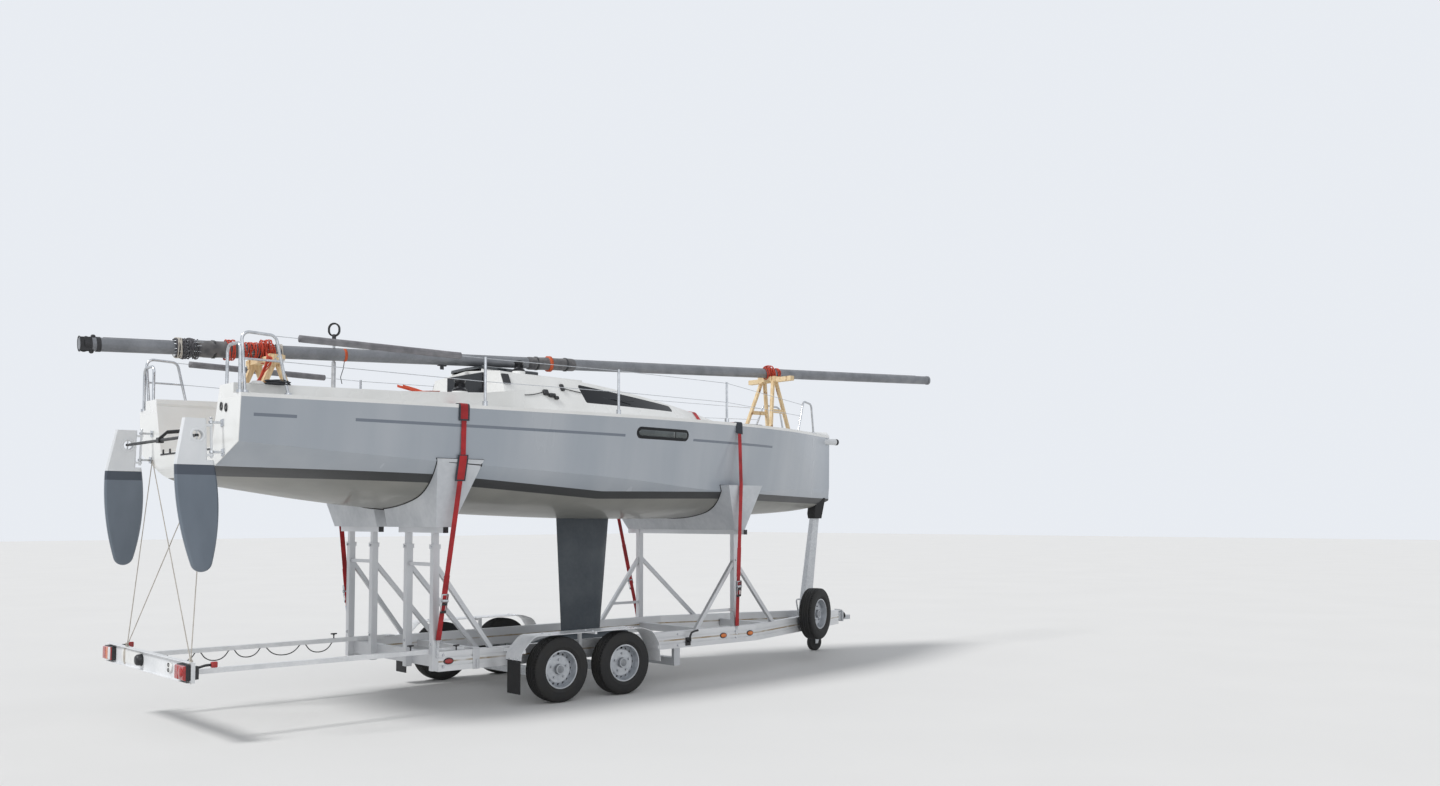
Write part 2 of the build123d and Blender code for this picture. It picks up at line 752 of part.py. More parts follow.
# Fore trestle: a lighter pair of A-frames on the foredeck.
fore_trestle_x = 3520
with BuildPart() as fore_trestle:
    top_z = mast_z(fore_trestle_x) - 30
    for side in SIDES.values():
        for foot_x, foot_y in ((3310, 235), (3690, 185)):
            add(
                bar(
                    (foot_x, side * foot_y, 2740),
                    (fore_trestle_x + (foot_x - fore_trestle_x) * 0.12, side * 95, top_z - 60),
                    40,
                    30,
                )
            )
        add(bar((3395, side * 178, 3010), (3628, side * 150, 3010), 24, 45))
        for foot_x, foot_y in ((3310, 235), (3690, 185)):
            add(under_foot(foot_x, side * foot_y, 130), mode=Mode.SUBTRACT)
    add(bar((fore_trestle_x, -150, top_z - 45), (fore_trestle_x, 150, top_z - 45), 90, 60))
    add(mast.part, mode=Mode.SUBTRACT)
save(fore_trestle.part, "fore_trestle")

# Upright pole with a loop, standing on the cockpit's sole beside the mast.
pole = (-2080, 85)
with BuildPart() as loop_pole:
    add(rod((*pole, sole_z), (*pole, sole_z + 20), 60))
    add(rod((*pole, sole_z), (*pole, 3150), 20))
    add(rod((*pole, 3150), (*pole, 3400), 13))
    with BuildSketch(Plane(origin=(*pole, 3450), x_dir=(0.7, -0.7, 0), z_dir=(0.7, 0.7, 0))):
        SlotOverall(130, 112, rotation=90)
        SlotOverall(100, 82, rotation=90, mode=Mode.SUBTRACT)
    extrude(amount=9, both=True)
save(loop_pole.part, "loop_pole")

# Rails of stainless tube: pushpits aft, stanchions amidships, pulpits forward, and the lifelines.
rail_radius = 12.5


pushpit_y = 1120
pushpit_points = ((-3352, 2690), (-3388, 3163), (-3118, 3152), (-3010, 2690))
pushpit_mid_z = 2950
with BuildPart() as pushpits:
    for side in SIDES.values():
        y = side * pushpit_y
        add(bent_rod([(x, y, z) for x, z in pushpit_points], 60, rail_radius))
        add(rod((-3372, y, pushpit_mid_z), (-3071, y, pushpit_mid_z), 9))
        add(bent_rod([(-3395, side * 1130, 2690), (-3398, side * 1130, 3075), (-3398, side * 870, 3075), (-3398, side * 870, coaming_profile[0][1] + 0.6)], 60, rail_radius))
        for x, foot_y in ((-3352, y), (-3010, y), (-3395, side * 1130)):
            add(rod((x, foot_y, sheer_aft_z - 20), (x, foot_y, sheer_aft_z + 25), 26))
            add(under_foot(x, foot_y, 80), mode=Mode.SUBTRACT)
save(pushpits.part, "pushpits")

pulpit_points = ((3620, 395, 2740), (3775, 345, 3138), (3985, 277, 3115), (4050, 256, 2740))
with BuildPart() as pulpits:
    for side in SIDES.values():
        add(bent_rod([(x, side * y, z) for x, y, z in pulpit_points], 60, rail_radius))
        for x, y, z in (pulpit_points[0], pulpit_points[-1]):
            add(under_foot(x, side * y), mode=Mode.SUBTRACT)
save(pulpits.part, "pulpits")

stanchion_xs = (-1265, 245, 1870)
stanchion_inset = 62
stanchion_high = 440
with BuildPart() as stanchions:
    for side in SIDES.values():
        for x in stanchion_xs:
            y = side * (edge_y(x) - stanchion_inset)
            foot_z = sheer_z(x) - 15
            add(rod((x, y, foot_z), (x, y, sheer_z(x) + stanchion_high), rail_radius))
            add(rod((x, y, foot_z), (x, y, sheer_z(x) + 45), 24))
            add(under_foot(x, y), mode=Mode.SUBTRACT)
save(stanchions.part, "stanchions")

wire_radius = 3
line_levels = ((3148, 0.97, 3090), (2950, 0.5, 2950))
foam_spans = {"starboard": (-2931, -1508), "port": (-3006, -1660)}
foam_radius = 30
top_lines = {}
with BuildPart() as lifelines:
    for name, side in SIDES.items():
        for aft_z, share, fore_z in line_levels:
            aft_x = -3129 if share > 0.9 else -3070
            fore_x, fore_y = (3756, 351) if share > 0.9 else (3702, 370)
            points = [(aft_x, side * pushpit_y, aft_z)]
            for x in stanchion_xs:
                high = sheer_z(x) + share * stanchion_high
                points.append((x, side * (edge_y(x) - stanchion_inset), high))
            points.append((fore_x, side * fore_y, fore_z))
            if share > 0.9:
                top_lines[name] = points
            for start, end in zip(points, points[1:]):
                along = (Vector(*end) - Vector(*start)).normalized()
                cuts = [rail_radius + (2.1 if p in (points[0], points[-1]) else 0.4) for p in (start, end)]
                add(rod(tuple(Vector(*start) + along * cuts[0]), tuple(Vector(*end) - along * cuts[1]), wire_radius))
save(lifelines.part, "lifelines")
with BuildPart() as foam_tubes:
    for name, (x0, x1) in foam_spans.items():
        aft, fore = (Vector(*p) for p in top_lines[name][:2])
        ends = [aft + (fore - aft) * ((x - aft.X) / (fore.X - aft.X)) for x in (x0, x1)]
        add(rod(tuple(ends[0]), tuple(ends[1]), foam_radius, wire_radius))
save(foam_tubes.part, "foam_tubes")

# Trailer frame: two main beams that run parallel and then close in a V to the drawbar.
beam_y = 820
beam_wide = 65
beam_z = (355, 530)
beam_mid_z = sum(beam_z) / 2
beam_high = beam_z[1] - beam_z[0]
beam_aft_x = -1495
beam_bend_x = 2450
beam_tip = (4640, 86)
v_slope = (beam_y - beam_tip[1]) / (beam_tip[0] - beam_bend_x)
groove_high = 14
groove_deep = 9


def v_inner(x):
    """The inner face of a V beam at x."""
    return beam_y - v_slope * (x - beam_bend_x) - beam_wide / 2 * sqrt(1 + v_slope**2)


beams = {}
for name, side in SIDES.items():
    with BuildPart() as beam:
        with BuildLine():
            Polyline(
                (beam_aft_x, side * beam_y, beam_mid_z),
                (beam_bend_x, side * beam_y, beam_mid_z),
                (beam_tip[0], side * beam_tip[1], beam_mid_z),
            )
        with BuildSketch(Plane(origin=(beam_aft_x, side * beam_y, beam_mid_z), x_dir=(0, 1, 0), z_dir=(1, 0, 0))):
            Rectangle(beam_wide, beam_high)
            with Locations((side * (beam_wide / 2 - groove_deep / 2), 34), (side * (beam_wide / 2 - groove_deep / 2), -34)):
                Rectangle(groove_deep, groove_high, mode=Mode.SUBTRACT)
        sweep(transition=Transition.RIGHT)
    beams[name] = beam.part
    save(beam.part, f"beam_{name}")

# Cross members between the beams; the middle one is dropped to carry the keel tray. The rear one
# is a channel.
cross_sections = (
    # x, half length, centre z, along, high
    (-780, beam_y - beam_wide / 2, 440, 60, 60),
    (2140, beam_y - beam_wide / 2, 430, 60, 80),
    (3200, v_inner(3230), 430, 60, 80),
    (4110, v_inner(4150), 430, 80, 80),
)
rear_cross_x = (beam_aft_x, beam_aft_x + 60)
rear_cross_z = (390, 510)
drop_x = 1300
drop_z = 215
with BuildPart() as cross_members:
    for x, half, z, along, high in cross_sections:
        with Locations((x, 0, z)):
            Box(along, 2 * half, high)
    with Locations((drop_x, 0, drop_z)):
        Box(80, 2 * beam_y + 40, 80)
    for side in SIDES.values():
        with Locations((drop_x, side * beam_y, (drop_z + beam_z[0]) / 2)):
            Box(80, 40, beam_z[0] - drop_z)
    with BuildSketch(Plane.XZ.offset(-(beam_y - beam_wide / 2))):
        with Locations((sum(rear_cross_x) / 2, sum(rear_cross_z) / 2)):
            Rectangle(60, 120)
            with Locations((6, 0)):
                Rectangle(60, 108, mode=Mode.SUBTRACT)
    extrude(amount=2 * beam_y - beam_wide)
save(cross_members.part, "cross_members")

# Keel tray on the axle tubes and the dropped cross member.
tray_top_z = 299.7
tray_bed_z = 255
with BuildPart() as keel_tray:
    with Locations((600, 0, tray_top_z - 3)):
        Box(1560, 360, 6)
    for side in SIDES.values():
        add(bar((-290, side * 150, 274.5), (1380, side * 150, 274.5), 40, 39))
        with Locations((600, side * 177, tray_top_z + 12)):
            Box(1560, 6, 24)
save(keel_tray.part, "keel_tray")

# Wheels and axles. The tubes lie across under the beams; trailing arms carry the spindles.
wheel_x = (-373, 373)
wheel_y = 1064.5
wheel_z = 305
tyre_radius = 305
tyre_half = 92.5
rim_radius = 178
spindle = 20
bearing_gap = 0.05
axle_offset = 130
arm_y = 925
with BuildPart(mode=Mode.PRIVATE) as tyre_shape:
    with BuildSketch(Plane.XZ):
        with BuildLine():
            Line((rim_radius, -74), (rim_radius, 74))
            ThreePointArc((rim_radius, 74), (238, tyre_half), (286, 82))
            ThreePointArc((286, 82), (300, 74), (302, 62))
            ThreePointArc((302, 62), (tyre_radius, 0), (302, -62))
            ThreePointArc((302, -62), (300, -74), (286, -82))
            ThreePointArc((286, -82), (238, -tyre_half), (rim_radius, -74))
        make_face()
    revolve(axis=Axis.Z)
rim_profile = (
    (spindle + bearing_gap, -92), (108, -92), (108, -30), (58, -30), (58, 14), (120, 14),
    (158, -6), (158, -74), (rim_radius, -74), (rim_radius, 74), (166, 74), (166, 4),
    (124, 24), (50, 24), (44, 56), (0, 56), (0, 44), (spindle + bearing_gap, 44),
)
with BuildPart(mode=Mode.PRIVATE) as rim_shape:
    with BuildSketch(Plane.XZ):
        with BuildLine():
            Polyline(*rim_profile, close=True)
        make_face()
    revolve(axis=Axis.Z)
    with PolarLocations(140, 16):
        Cylinder(11, 160, mode=Mode.SUBTRACT)


def wheel_place(x, y, z, out):
    """Where a wheel goes: its axle along out, the rim's cap outwards."""
    return Plane(origin=(x, y, z), x_dir=(0, 0, 1), z_dir=out).location


spare = (3745, -545, 560)
spare_out = Vector(v_slope, -1, 0).normalized()
wheel_places = {}
for name, side in SIDES.items():
    for end, x in zip(("rear", "front"), wheel_x):
        wheel_places[f"{end}_{name}"] = wheel_place(x, side * wheel_y, wheel_z, (0, side, 0))
wheel_places["spare"] = wheel_place(*spare, spare_out)
for name, place in wheel_places.items():
    save(tyre_shape.part.moved(place), f"tyre_{name}")
    save(rim_shape.part.moved(place), f"rim_{name}")

with BuildPart() as axles:
    for x in wheel_x:
        tube_x = x + axle_offset
        with Locations((tube_x, 0, drop_z)):
            Box(80, 2 * (arm_y - 18), 80)
        for side in SIDES.values():
            with Locations((tube_x, side * beam_y, (drop_z + 40 + beam_z[0]) / 2)):
                Box(150, 60, beam_z[0] - drop_z - 40)
            with BuildSketch(Plane.XZ.offset(-side * arm_y)):
                with BuildLine():
                    Polyline((tube_x + 50, drop_z + 45), (tube_x + 50, drop_z - 45), (tube_x - 30, drop_z - 45), (x - 35, wheel_z - 30), (x - 35, wheel_z + 38), (x + 30, wheel_z + 38), close=True)
                make_face()
            extrude(amount=18, both=True)
            add(rod((x, side * (arm_y + 10), wheel_z), (x, side * (wheel_y + 40), wheel_z), spindle))
            with BuildSketch(Plane(origin=(x, side * (arm_y + 10), wheel_z), z_dir=(0, side, 0))):
                Circle(100)
            extrude(amount=16)
save(axles.part, "axles")

# Mudguards over both wheels of a side, and the rubber flaps behind them.
guard_y = (930, 1180)
guard_line = ((792, 290), (780, 470), (700, 590), (560, 637), (-700, 637), (-850, 490), (-850, 425))
guard_thick = 5
with BuildPart() as mudguards:
    for side in SIDES.values():
        guard_start = -guard_y[1] if side > 0 else guard_y[0]
        with BuildSketch(Plane.XZ.offset(guard_start)):
            with BuildLine():
                FilletPolyline(*guard_line, radius=120)
                offset(amount=guard_thick, side=Side.LEFT, closed=True, mode=Mode.REPLACE)
            make_face()
        extrude(amount=guard_y[1] - guard_y[0])
        for x, z in ((782, 430), (-807, 502)):
            add(bar((x, side * (beam_y + beam_wide / 2), z), (x, side * (guard_y[1] - 10), z), 30, 30))
        add(bar((0, side * (beam_y + beam_wide / 2), 470), (0, side * 905, 470), 30, 30))
        add(bar((0, side * 905, 455), (0, side * 905, 634), 30, 30))
        add(bar((0, side * 890, 622), (0, side * (guard_y[1] - 10), 622), 24, 24))
save(mudguards.part, "mudguards")
with BuildPart() as mudflaps:
    for side in SIDES.values():
        with Locations((-842, side * 1055, 279)):
            Box(6, 210, 318)
save(mudflaps.part, "mudflaps")

# Rear support: posts with telescoping heads that carry the two rear pads.
post = 60
rear_post_x = beam_aft_x - post / 2
rear_post_ys = (820, 340)
post_foot_z = beam_z[0] + 10
collar_z = 1460
rear_top_z = 1633
head = 50
with BuildPart() as rear_posts:
    for side in SIDES.values():
        for y in rear_post_ys:
            with Locations((rear_post_x, side * y, (post_foot_z + collar_z) / 2)):
                Box(post, post, collar_z - post_foot_z)
            with Locations((rear_post_x, side * y, collar_z)):
                Box(post + 14, post + 14, 40)
            with Locations((rear_post_x, side * y, (collar_z + rear_top_z) / 2)):
                Box(head, head, rear_top_z - collar_z)
            brace_end = (-943, beam_z[1] - 8) if y > 500 else (-790, 462)
            add(bar((rear_post_x + 10, side * y, 1290), (brace_end[0], side * y, brace_end[1]), 40, 40))
        add(bar((rear_post_x, side * rear_post_ys[1], 1300), (rear_post_x, side * rear_post_ys[0], 1300), 30, 30))
        add(bar((rear_post_x, side * 200, rear_top_z - 25), (rear_post_x, side * 1000, rear_top_z - 25), head, head))
    for x, half, z, along, high in cross_sections[:1]:
        with Locations((x, 0, z)):
            Box(along, 2 * half, high, mode=Mode.SUBTRACT)
    for side in SIDES.values():
        with Locations((0, side * beam_y, beam_mid_z)):
            Box(-2 * beam_aft_x, beam_wide, beam_high, mode=Mode.SUBTRACT)
save(rear_posts.part, "rear_posts")

# Front support: two braced posts on the beams and one tube across under the front pad.
front_x = 2140
front_top_z = 1580
with BuildPart() as front_posts:
    for side in SIDES.values():
        y = side * beam_y
        with Locations((front_x, y, (beam_z[1] + front_top_z) / 2)):
            Box(post, post, front_top_z - beam_z[1])
        add(bar((front_x, y, 1250), (1560, y, beam_z[1] - 20), 40, 40))
        fore_foot_x = 2890
        fore_foot_y = beam_y - v_slope * (fore_foot_x - beam_bend_x)
        add(bar((front_x, y, 1250), (fore_foot_x, side * fore_foot_y, beam_z[1] - 20), 40, 40))
        add(bar((1700, y, 710), (front_x, y, 710), 30, 30))
    add(bar((front_x, -1000, front_top_z - 25), (front_x, 1000, front_top_z - 25), head, head))
    with Locations((0, 0, beam_mid_z)):
        Box(8000, 3000, beam_high, mode=Mode.SUBTRACT)
save(front_posts.part, "front_posts")

# Pads shaped to the hull.
pads = (
    # bottom x from, to, z; top x from, to, z; inner y, outer y at the bottom, outer y at the top
    (-1618, -1462, rear_top_z, -1743, -1283, 2225, 100, 1000, 1232),
    (2050, 2200, front_top_z, 1800, 2300, 2060, 0, 930, 1105),
)


def pad_block(x0, x1, z0, x2, x3, z1, inner_y, bottom_y, top_y, side):
    with BuildPart(mode=Mode.PRIVATE) as block:
        with BuildSketch(Plane.XZ):
            with BuildLine():
                Polyline((x0, z0), (x1, z0), (x3, z1), (x2, z1), close=True)
            make_face()
        extrude(amount=1500, both=True)
        with BuildSketch(Plane(origin=(x2 - 50, 0, 0), x_dir=(0, 1, 0), z_dir=(1, 0, 0))):
            with BuildLine():
                Polyline(
                    (side * inner_y, z0), (side * bottom_y, z0), (side * top_y, z1), (side * inner_y, z1), close=True
                )
            make_face()
        extrude(amount=x3 - x2 + 100, mode=Mode.INTERSECT)
    return block.part


with BuildPart() as hull_pads:
    for row in pads:
        halves = [pad_block(*row, side) for side in SIDES.values()]
        for block in halves if row[6] else [halves[0] + halves[1]]:
            add(block - outer_body)
save(hull_pads.part, "hull_pads")

# Bow post with the brake lever behind its foot, and its rubber snubber.
with BuildPart() as bow_post:
    for x, z, along, wide in ((4128, 440, 150, 80), (4330, 1700, 100, 70)):
        with BuildSketch(Plane.XY.offset(z)):
            with Locations((x, 0)):
                Rectangle(along, wide)
    loft()
    with Locations((4110, 0, 430)):
        Box(160, 160, 96)
        Box(80, 2000, 80, mode=Mode.SUBTRACT)
    add(bent_rod([(4040, 0, 465), (3990, 0, 690), (4060, 0, 690)], 20, 9))
save(bow_post.part, "bow_post")
with BuildPart() as bow_snubber:
    with BuildSketch(Plane.XZ):
        with BuildLine():
            Polyline((4285, 1700), (4395, 1700), (4470, 1960), (4300, 1960), (4270, 1760), close=True)
        make_face()
    extrude(amount=65, both=True)
    add(outer_body, mode=Mode.SUBTRACT)
save(bow_snubber.part, "bow_snubber")

# Drawbar and ball coupling.
draw_half = 50
draw_start_x = 4212
draw_end_x = 4800
ball_radius = 25.25
ball_x = 4950
ball_top_z = 425
ball_deep = 30
with BuildPart() as coupling:
    with Locations(((draw_start_x + draw_end_x) / 2, 0, beam_mid_z)):
        Box(draw_end_x - draw_start_x, 2 * draw_half, 2 * draw_half)
    with Locations((4790, 0, beam_mid_z)):
        Box(20, 140, 130)
    add(rod((4800, 0, beam_mid_z), (4875, 0, beam_mid_z), 36))
    with BuildSketch(Plane.XY.offset(ball_top_z - ball_deep)):
        with Locations((ball_x, 0)):
            Circle(38)
        with Locations((4900, 0)):
            Rectangle(90, 70)
    extrude(amount=ball_deep + 22)
    with BuildSketch(Plane.XY.offset(ball_top_z - ball_deep)):
        with Locations((ball_x, 0)):
            Circle(ball_radius)
    extrude(amount=ball_deep, mode=Mode.SUBTRACT)
    add(bar((4905, 0, 440), (4830, 0, 515), 26, 12))
    add(bar((4830, 0, 515), (4720, 0, 530), 26, 12))
save(coupling.part, "coupling")

# Spare wheel carrier on the starboard V beam.
with BuildPart() as spare_carrier:
    v_face = Vector(beam_bend_x, -beam_y, spare[2]) + spare_out * (beam_wide / 2)
    reach = (Vector(*spare) - v_face).dot(spare_out)
    plate = Plane(origin=Vector(*spare) - spare_out * reach, x_dir=(0, 0, 1), z_dir=spare_out)
    with BuildSketch(plate):
        with Locations((-60, 0)):
            Rectangle(240, 140)
    extrude(amount=10)
    with BuildSketch(plate):
        Circle(spindle)
    extrude(amount=reach + 40)
    with BuildSketch(plate):
        Circle(45)
    extrude(amount=reach - 92)
save(spare_carrier.part, "spare_carrier")

# Jockey wheel: clamp and outer tube on the port V beam, sliding leg, swivelling fork, wheel.
jockey = (4600, 215)
jockey_tube_z = (382, 650)
leg_radius = 24.95
leg_gap = 0.05
fork_top_z = 236
jockey_radius = 110
jockey_trail = 50
with BuildPart() as jockey_tube:
    add(rod((*jockey, jockey_tube_z[0]), (*jockey, jockey_tube_z[1]), 30, leg_radius + leg_gap))
    add(rod((*jockey, jockey_tube_z[1]), (*jockey, jockey_tube_z[1] + 12), 32))
    add(rod((*jockey, jockey_tube_z[1] + 12), (*jockey, jockey_tube_z[1] + 50), 9))
    add(bar((jockey[0] - 10, jockey[1], 698), (jockey[0] + 120, jockey[1], 698), 22, 10))
    add(rod((jockey[0] + 110, jockey[1], 700), (jockey[0] + 110, jockey[1], 780), 12))
    with Locations((jockey[0], jockey[1] - 44, beam_mid_z)):
        Box(70, 112, 60)
    with BuildSketch(Plane(origin=(*jockey, 200))):
        Circle(leg_radius + leg_gap)
    extrude(amount=jockey_tube_z[1] - 200, mode=Mode.SUBTRACT)
    add(beams["port"], mode=Mode.SUBTRACT)
save(jockey_tube.part, "jockey_tube")
with BuildPart() as jockey_leg:
    with BuildSketch(Plane(origin=(*jockey, fork_top_z + seat_gap))):
        Circle(leg_radius)
    extrude(amount=540 - fork_top_z)
    with BuildSketch(Plane(origin=(*jockey, fork_top_z))):
        Circle(12 + bearing_gap)
    extrude(amount=50, mode=Mode.SUBTRACT)
save(jockey_leg.part, "jockey_leg")
fork_axle = (jockey[0] - jockey_trail, jockey[1], jockey_radius)
with BuildPart() as jockey_fork:
    with BuildSketch(Plane.XY.offset(fork_top_z - 10)):
        with Locations((jockey[0] - 25, jockey[1])):
            Rectangle(110, 92)
    extrude(amount=10)
    add(rod((*jockey, fork_top_z - 5), (*jockey, fork_top_z + 46), 12))
    for side in (-1, 1):
        with BuildSketch(Plane.XZ.offset(-jockey[1] + side * 43)):
            with BuildLine():
                Polyline((jockey[0] - 80, fork_top_z - 5), (jockey[0] + 30, fork_top_z - 5), (fork_axle[0] + 22, 92), (fork_axle[0] - 22, 92), close=True)
            make_face()
        extrude(amount=3, both=True)
    add(rod((fork_axle[0], jockey[1] - 46, jockey_radius), (fork_axle[0], jockey[1] + 46, jockey_radius), 10))
save(jockey_fork.part, "jockey_fork")
with BuildPart() as jockey_wheel:
    with BuildSketch(Plane(origin=fork_axle, z_dir=(0, 1, 0))):
        Circle(jockey_radius)
        Circle(10 + bearing_gap, mode=Mode.SUBTRACT)
    extrude(amount=30, both=True)
    fillet(jockey_wheel.edges().filter_by(GeomType.CIRCLE).group_by(SortBy.RADIUS)[-1], 10)
save(jockey_wheel.part, "jockey_wheel")

# Light board on two rails that reach aft from the rear crossbeam.
rail_y = 760
rail_z = (rear_cross_z[1], rear_cross_z[1] + 40)
board_x = (-3670, -3640)
board_z = (475, 630)
board_half = 1018
with BuildPart() as light_board:
    with Locations((sum(board_x) / 2, 0, sum(board_z) / 2)):
        Box(board_x[1] - board_x[0], 2 * board_half, board_z[1] - board_z[0])
    for side in SIDES.values():
        add(bar((board_x[1], side * rail_y, sum(rail_z) / 2), (-1200, side * rail_y, sum(rail_z) / 2), 50, 40))
save(light_board.part, "light_board")
lamp_size = (50, 200, 110)
with BuildPart() as tail_lamps:
    for side in SIDES.values():
        with Locations((board_x[0] - lamp_size[0] / 2, side * 905, 552)):
            Box(*lamp_size)
    fillet(tail_lamps.faces().sort_by(Axis.X)[:2].edges(), 12)
save(tail_lamps.part, "tail_lamps")

# Lashings from the board up to the transom, taut.
lashings = (
    ((-3655, 560, 620), (-3412, 800, 2230)),
    ((-3655, 560, 620), (-3412, -500, 2180)),
    ((-3655, -960, 620), (-3412, -470, 2160)),
    ((-3655, -960, 620), (-3412, 790, 2215)),
)
with BuildPart() as board_ropes:
    for start, end in lashings:
        add(rod(start, end, 5))
    with Locations((sum(board_x) / 2, 0, 590)):
        Box(board_x[1] - board_x[0], 2 * board_half, 80, mode=Mode.SUBTRACT)
    add(outer_body, mode=Mode.SUBTRACT)
save(board_ropes.part, "board_ropes")

# Webbing straps that hold the boat down on the trailer.
web_wide = 50
web_thick = 3


def web(points):
    """A flat strap that follows straight runs."""
    with BuildPart(mode=Mode.PRIVATE) as strap:
        for start, end in zip(points, points[1:]):
            run = Vector(*end) - Vector(*start)
            along = run.normalized()
            across = Vector(1, 0, 0) - along * along.X
            with BuildSketch(Plane(origin=Vector(*start) - along * 1.5, x_dir=across, z_dir=run)):
                Rectangle(web_wide, web_thick)
            extrude(amount=run.length + 3)
    return strap.part


strap_x = 2020
strap_gap = 5
roof_base_y, roof_shoulder_y, roof_shoulder_z, roof_crown_z = table_at(roof_stations, strap_x)
roof_lean = (roof_base_y - roof_shoulder_y) / (roof_shoulder_z - roof_base_z)
foot_z = deck_z(strap_x, roof_shoulder_y)
rear_web = (
    (-1506, beam_y + beam_wide / 2 + 2, 475),
    (-1506, beam_y + beam_wide / 2 + 2, 600),
    (-1498, 1238, 2232),
    (-1510, edge_y(-1510) + strap_gap, sheer_z(-1510) + strap_gap),
    (-1505, 1180, deck_z(-1505, 1180) + strap_gap),
    (-1500, coaming_outer + 3 * strap_gap, deck_z(-1500, coaming_outer) + strap_gap),
)
front_half_web = (
    (2150, beam_y + beam_wide / 2 + 2.5, 440),
    (2150, beam_y + beam_wide / 2 + 2.5, 500),
    (1965, 1120, 2063),
    (strap_x, edge_y(strap_x) + strap_gap, sheer_z(strap_x) + strap_gap + web_thick),
    (strap_x, roof_base_y - roof_lean * (foot_z - roof_base_z) + 3 * strap_gap, foot_z + strap_gap),
    (strap_x, roof_shoulder_y + 2 * strap_gap, roof_shoulder_z + 2 * strap_gap),
    (strap_x, 0, roof_crown_z + 2 * strap_gap),
)
with BuildPart() as straps:
    for side in SIDES.values():
        add(web([(x, side * y, z) for x, y, z in rear_web]))
        add(web([(x, side * y, z) for x, y, z in front_half_web]))
save(straps.part, "straps")

# Wiring for the lights, tied up in loops along the port rail.
loop_tops = (-3630, -3280, -2990, -2690, -2400, -2015, -1700, -1580)
cable_y = rail_y + 25 + 5
cable_z = 530
loop_drop = 105
with BuildPart() as light_cable:
    with BuildLine() as cable_run:
        for x0, x1 in zip(loop_tops, loop_tops[1:]):
            drop = loop_drop * min(1, (x1 - x0) / 300) ** 2
            ThreePointArc((x0, cable_y, cable_z), ((x0 + x1) / 2, cable_y, cable_z - drop), (x1, cable_y, cable_z))
    with BuildSketch(Plane(origin=cable_run.line @ 0, z_dir=cable_run.line % 0)):
        Circle(5)
    sweep(path=cable_run.line, transition=Transition.ROUND)
save(light_cable.part, "light_cable")
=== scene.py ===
from math import cos, pi, radians, sin
from random import Random

import bmesh
import bpy
from mathutils import Matrix, Vector
from mathutils.bvhtree import BVHTree


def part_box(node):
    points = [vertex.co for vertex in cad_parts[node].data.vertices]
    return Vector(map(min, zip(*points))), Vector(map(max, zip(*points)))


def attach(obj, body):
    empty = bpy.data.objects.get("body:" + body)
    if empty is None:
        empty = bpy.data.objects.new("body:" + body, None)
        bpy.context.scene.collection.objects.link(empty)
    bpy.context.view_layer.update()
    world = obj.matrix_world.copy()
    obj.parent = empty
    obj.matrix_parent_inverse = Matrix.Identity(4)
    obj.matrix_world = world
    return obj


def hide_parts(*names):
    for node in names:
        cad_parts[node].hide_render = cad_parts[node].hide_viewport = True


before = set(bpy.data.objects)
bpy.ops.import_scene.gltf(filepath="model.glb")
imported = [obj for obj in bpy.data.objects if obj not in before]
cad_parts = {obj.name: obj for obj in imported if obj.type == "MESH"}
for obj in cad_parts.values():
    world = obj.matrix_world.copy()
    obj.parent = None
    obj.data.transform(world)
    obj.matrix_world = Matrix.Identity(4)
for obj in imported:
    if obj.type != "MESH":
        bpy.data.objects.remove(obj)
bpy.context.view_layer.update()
boat = "boat_and_trailer"

# The camera looks from the quay, off the starboard quarter and at chest height. The picture is
# 1440 pixels wide, and its centre lies a little above the camera's axis.
picture_wide = 1440
focal_pixels = 1192.7
axis_below_centre = 57.5
camera_data = bpy.data.cameras.new("camera")
camera_data.sensor_width = 36
camera_data.lens = focal_pixels / picture_wide * camera_data.sensor_width
camera_data.shift_y = axis_below_centre / picture_wide
camera_data.clip_end = 300
camera = bpy.data.objects.new("camera", camera_data)
camera.matrix_world = (
    Matrix.Translation((-6.901, -10.348, 1.718))
    @ Matrix.Rotation(radians(-42.84), 4, "Z")
    @ Matrix.Rotation(radians(93.2), 4, "X")
    @ Matrix.Rotation(radians(-0.08), 4, "Z")
)
bpy.context.collection.objects.link(camera)
bpy.context.scene.camera = camera
bpy.context.scene.view_settings.view_transform = "Standard"


# Studio: a pale floor, a soft sun from aft and to port, as in the yard, and an even pale sky.
def colour(red, green, blue):
    """A colour as a paint card gives it, 0 to 255, in the shader's own units."""
    linear = []
    for value in (red, green, blue):
        share = value / 255
        linear.append(share / 12.92 if share <= 0.04045 else ((share + 0.055) / 1.055) ** 2.4)
    return (*linear, 1.0)


class Reading:
    """A number or colour worked out by a finish. Sums with it add its Math nodes."""

    def __init__(self, finish, socket):
        self.finish = finish
        self.socket = socket

    def maths(self, operation, *terms):
        return self.finish.node("ShaderNodeMath", {"operation": operation}, dict(enumerate(terms)))

    def __add__(self, other):
        return self.maths("ADD", self, other)

    def __radd__(self, other):
        return self.maths("ADD", other, self)

    def __sub__(self, other):
        return self.maths("SUBTRACT", self, other)

    def __rsub__(self, other):
        return self.maths("SUBTRACT", other, self)

    def __mul__(self, other):
        return self.maths("MULTIPLY", self, other)

    def __rmul__(self, other):
        return self.maths("MULTIPLY", other, self)

    def __truediv__(self, other):
        return self.maths("DIVIDE", self, other)

    def __gt__(self, other):
        return self.maths("GREATER_THAN", self, other)

    def __lt__(self, other):
        return self.maths("LESS_THAN", self, other)

    def __abs__(self):
        return self.maths("ABSOLUTE", self)

    def wave(self):
        return self.maths("SINE", self)

    def between(self, low, high):
        return (self > low) * (self < high)


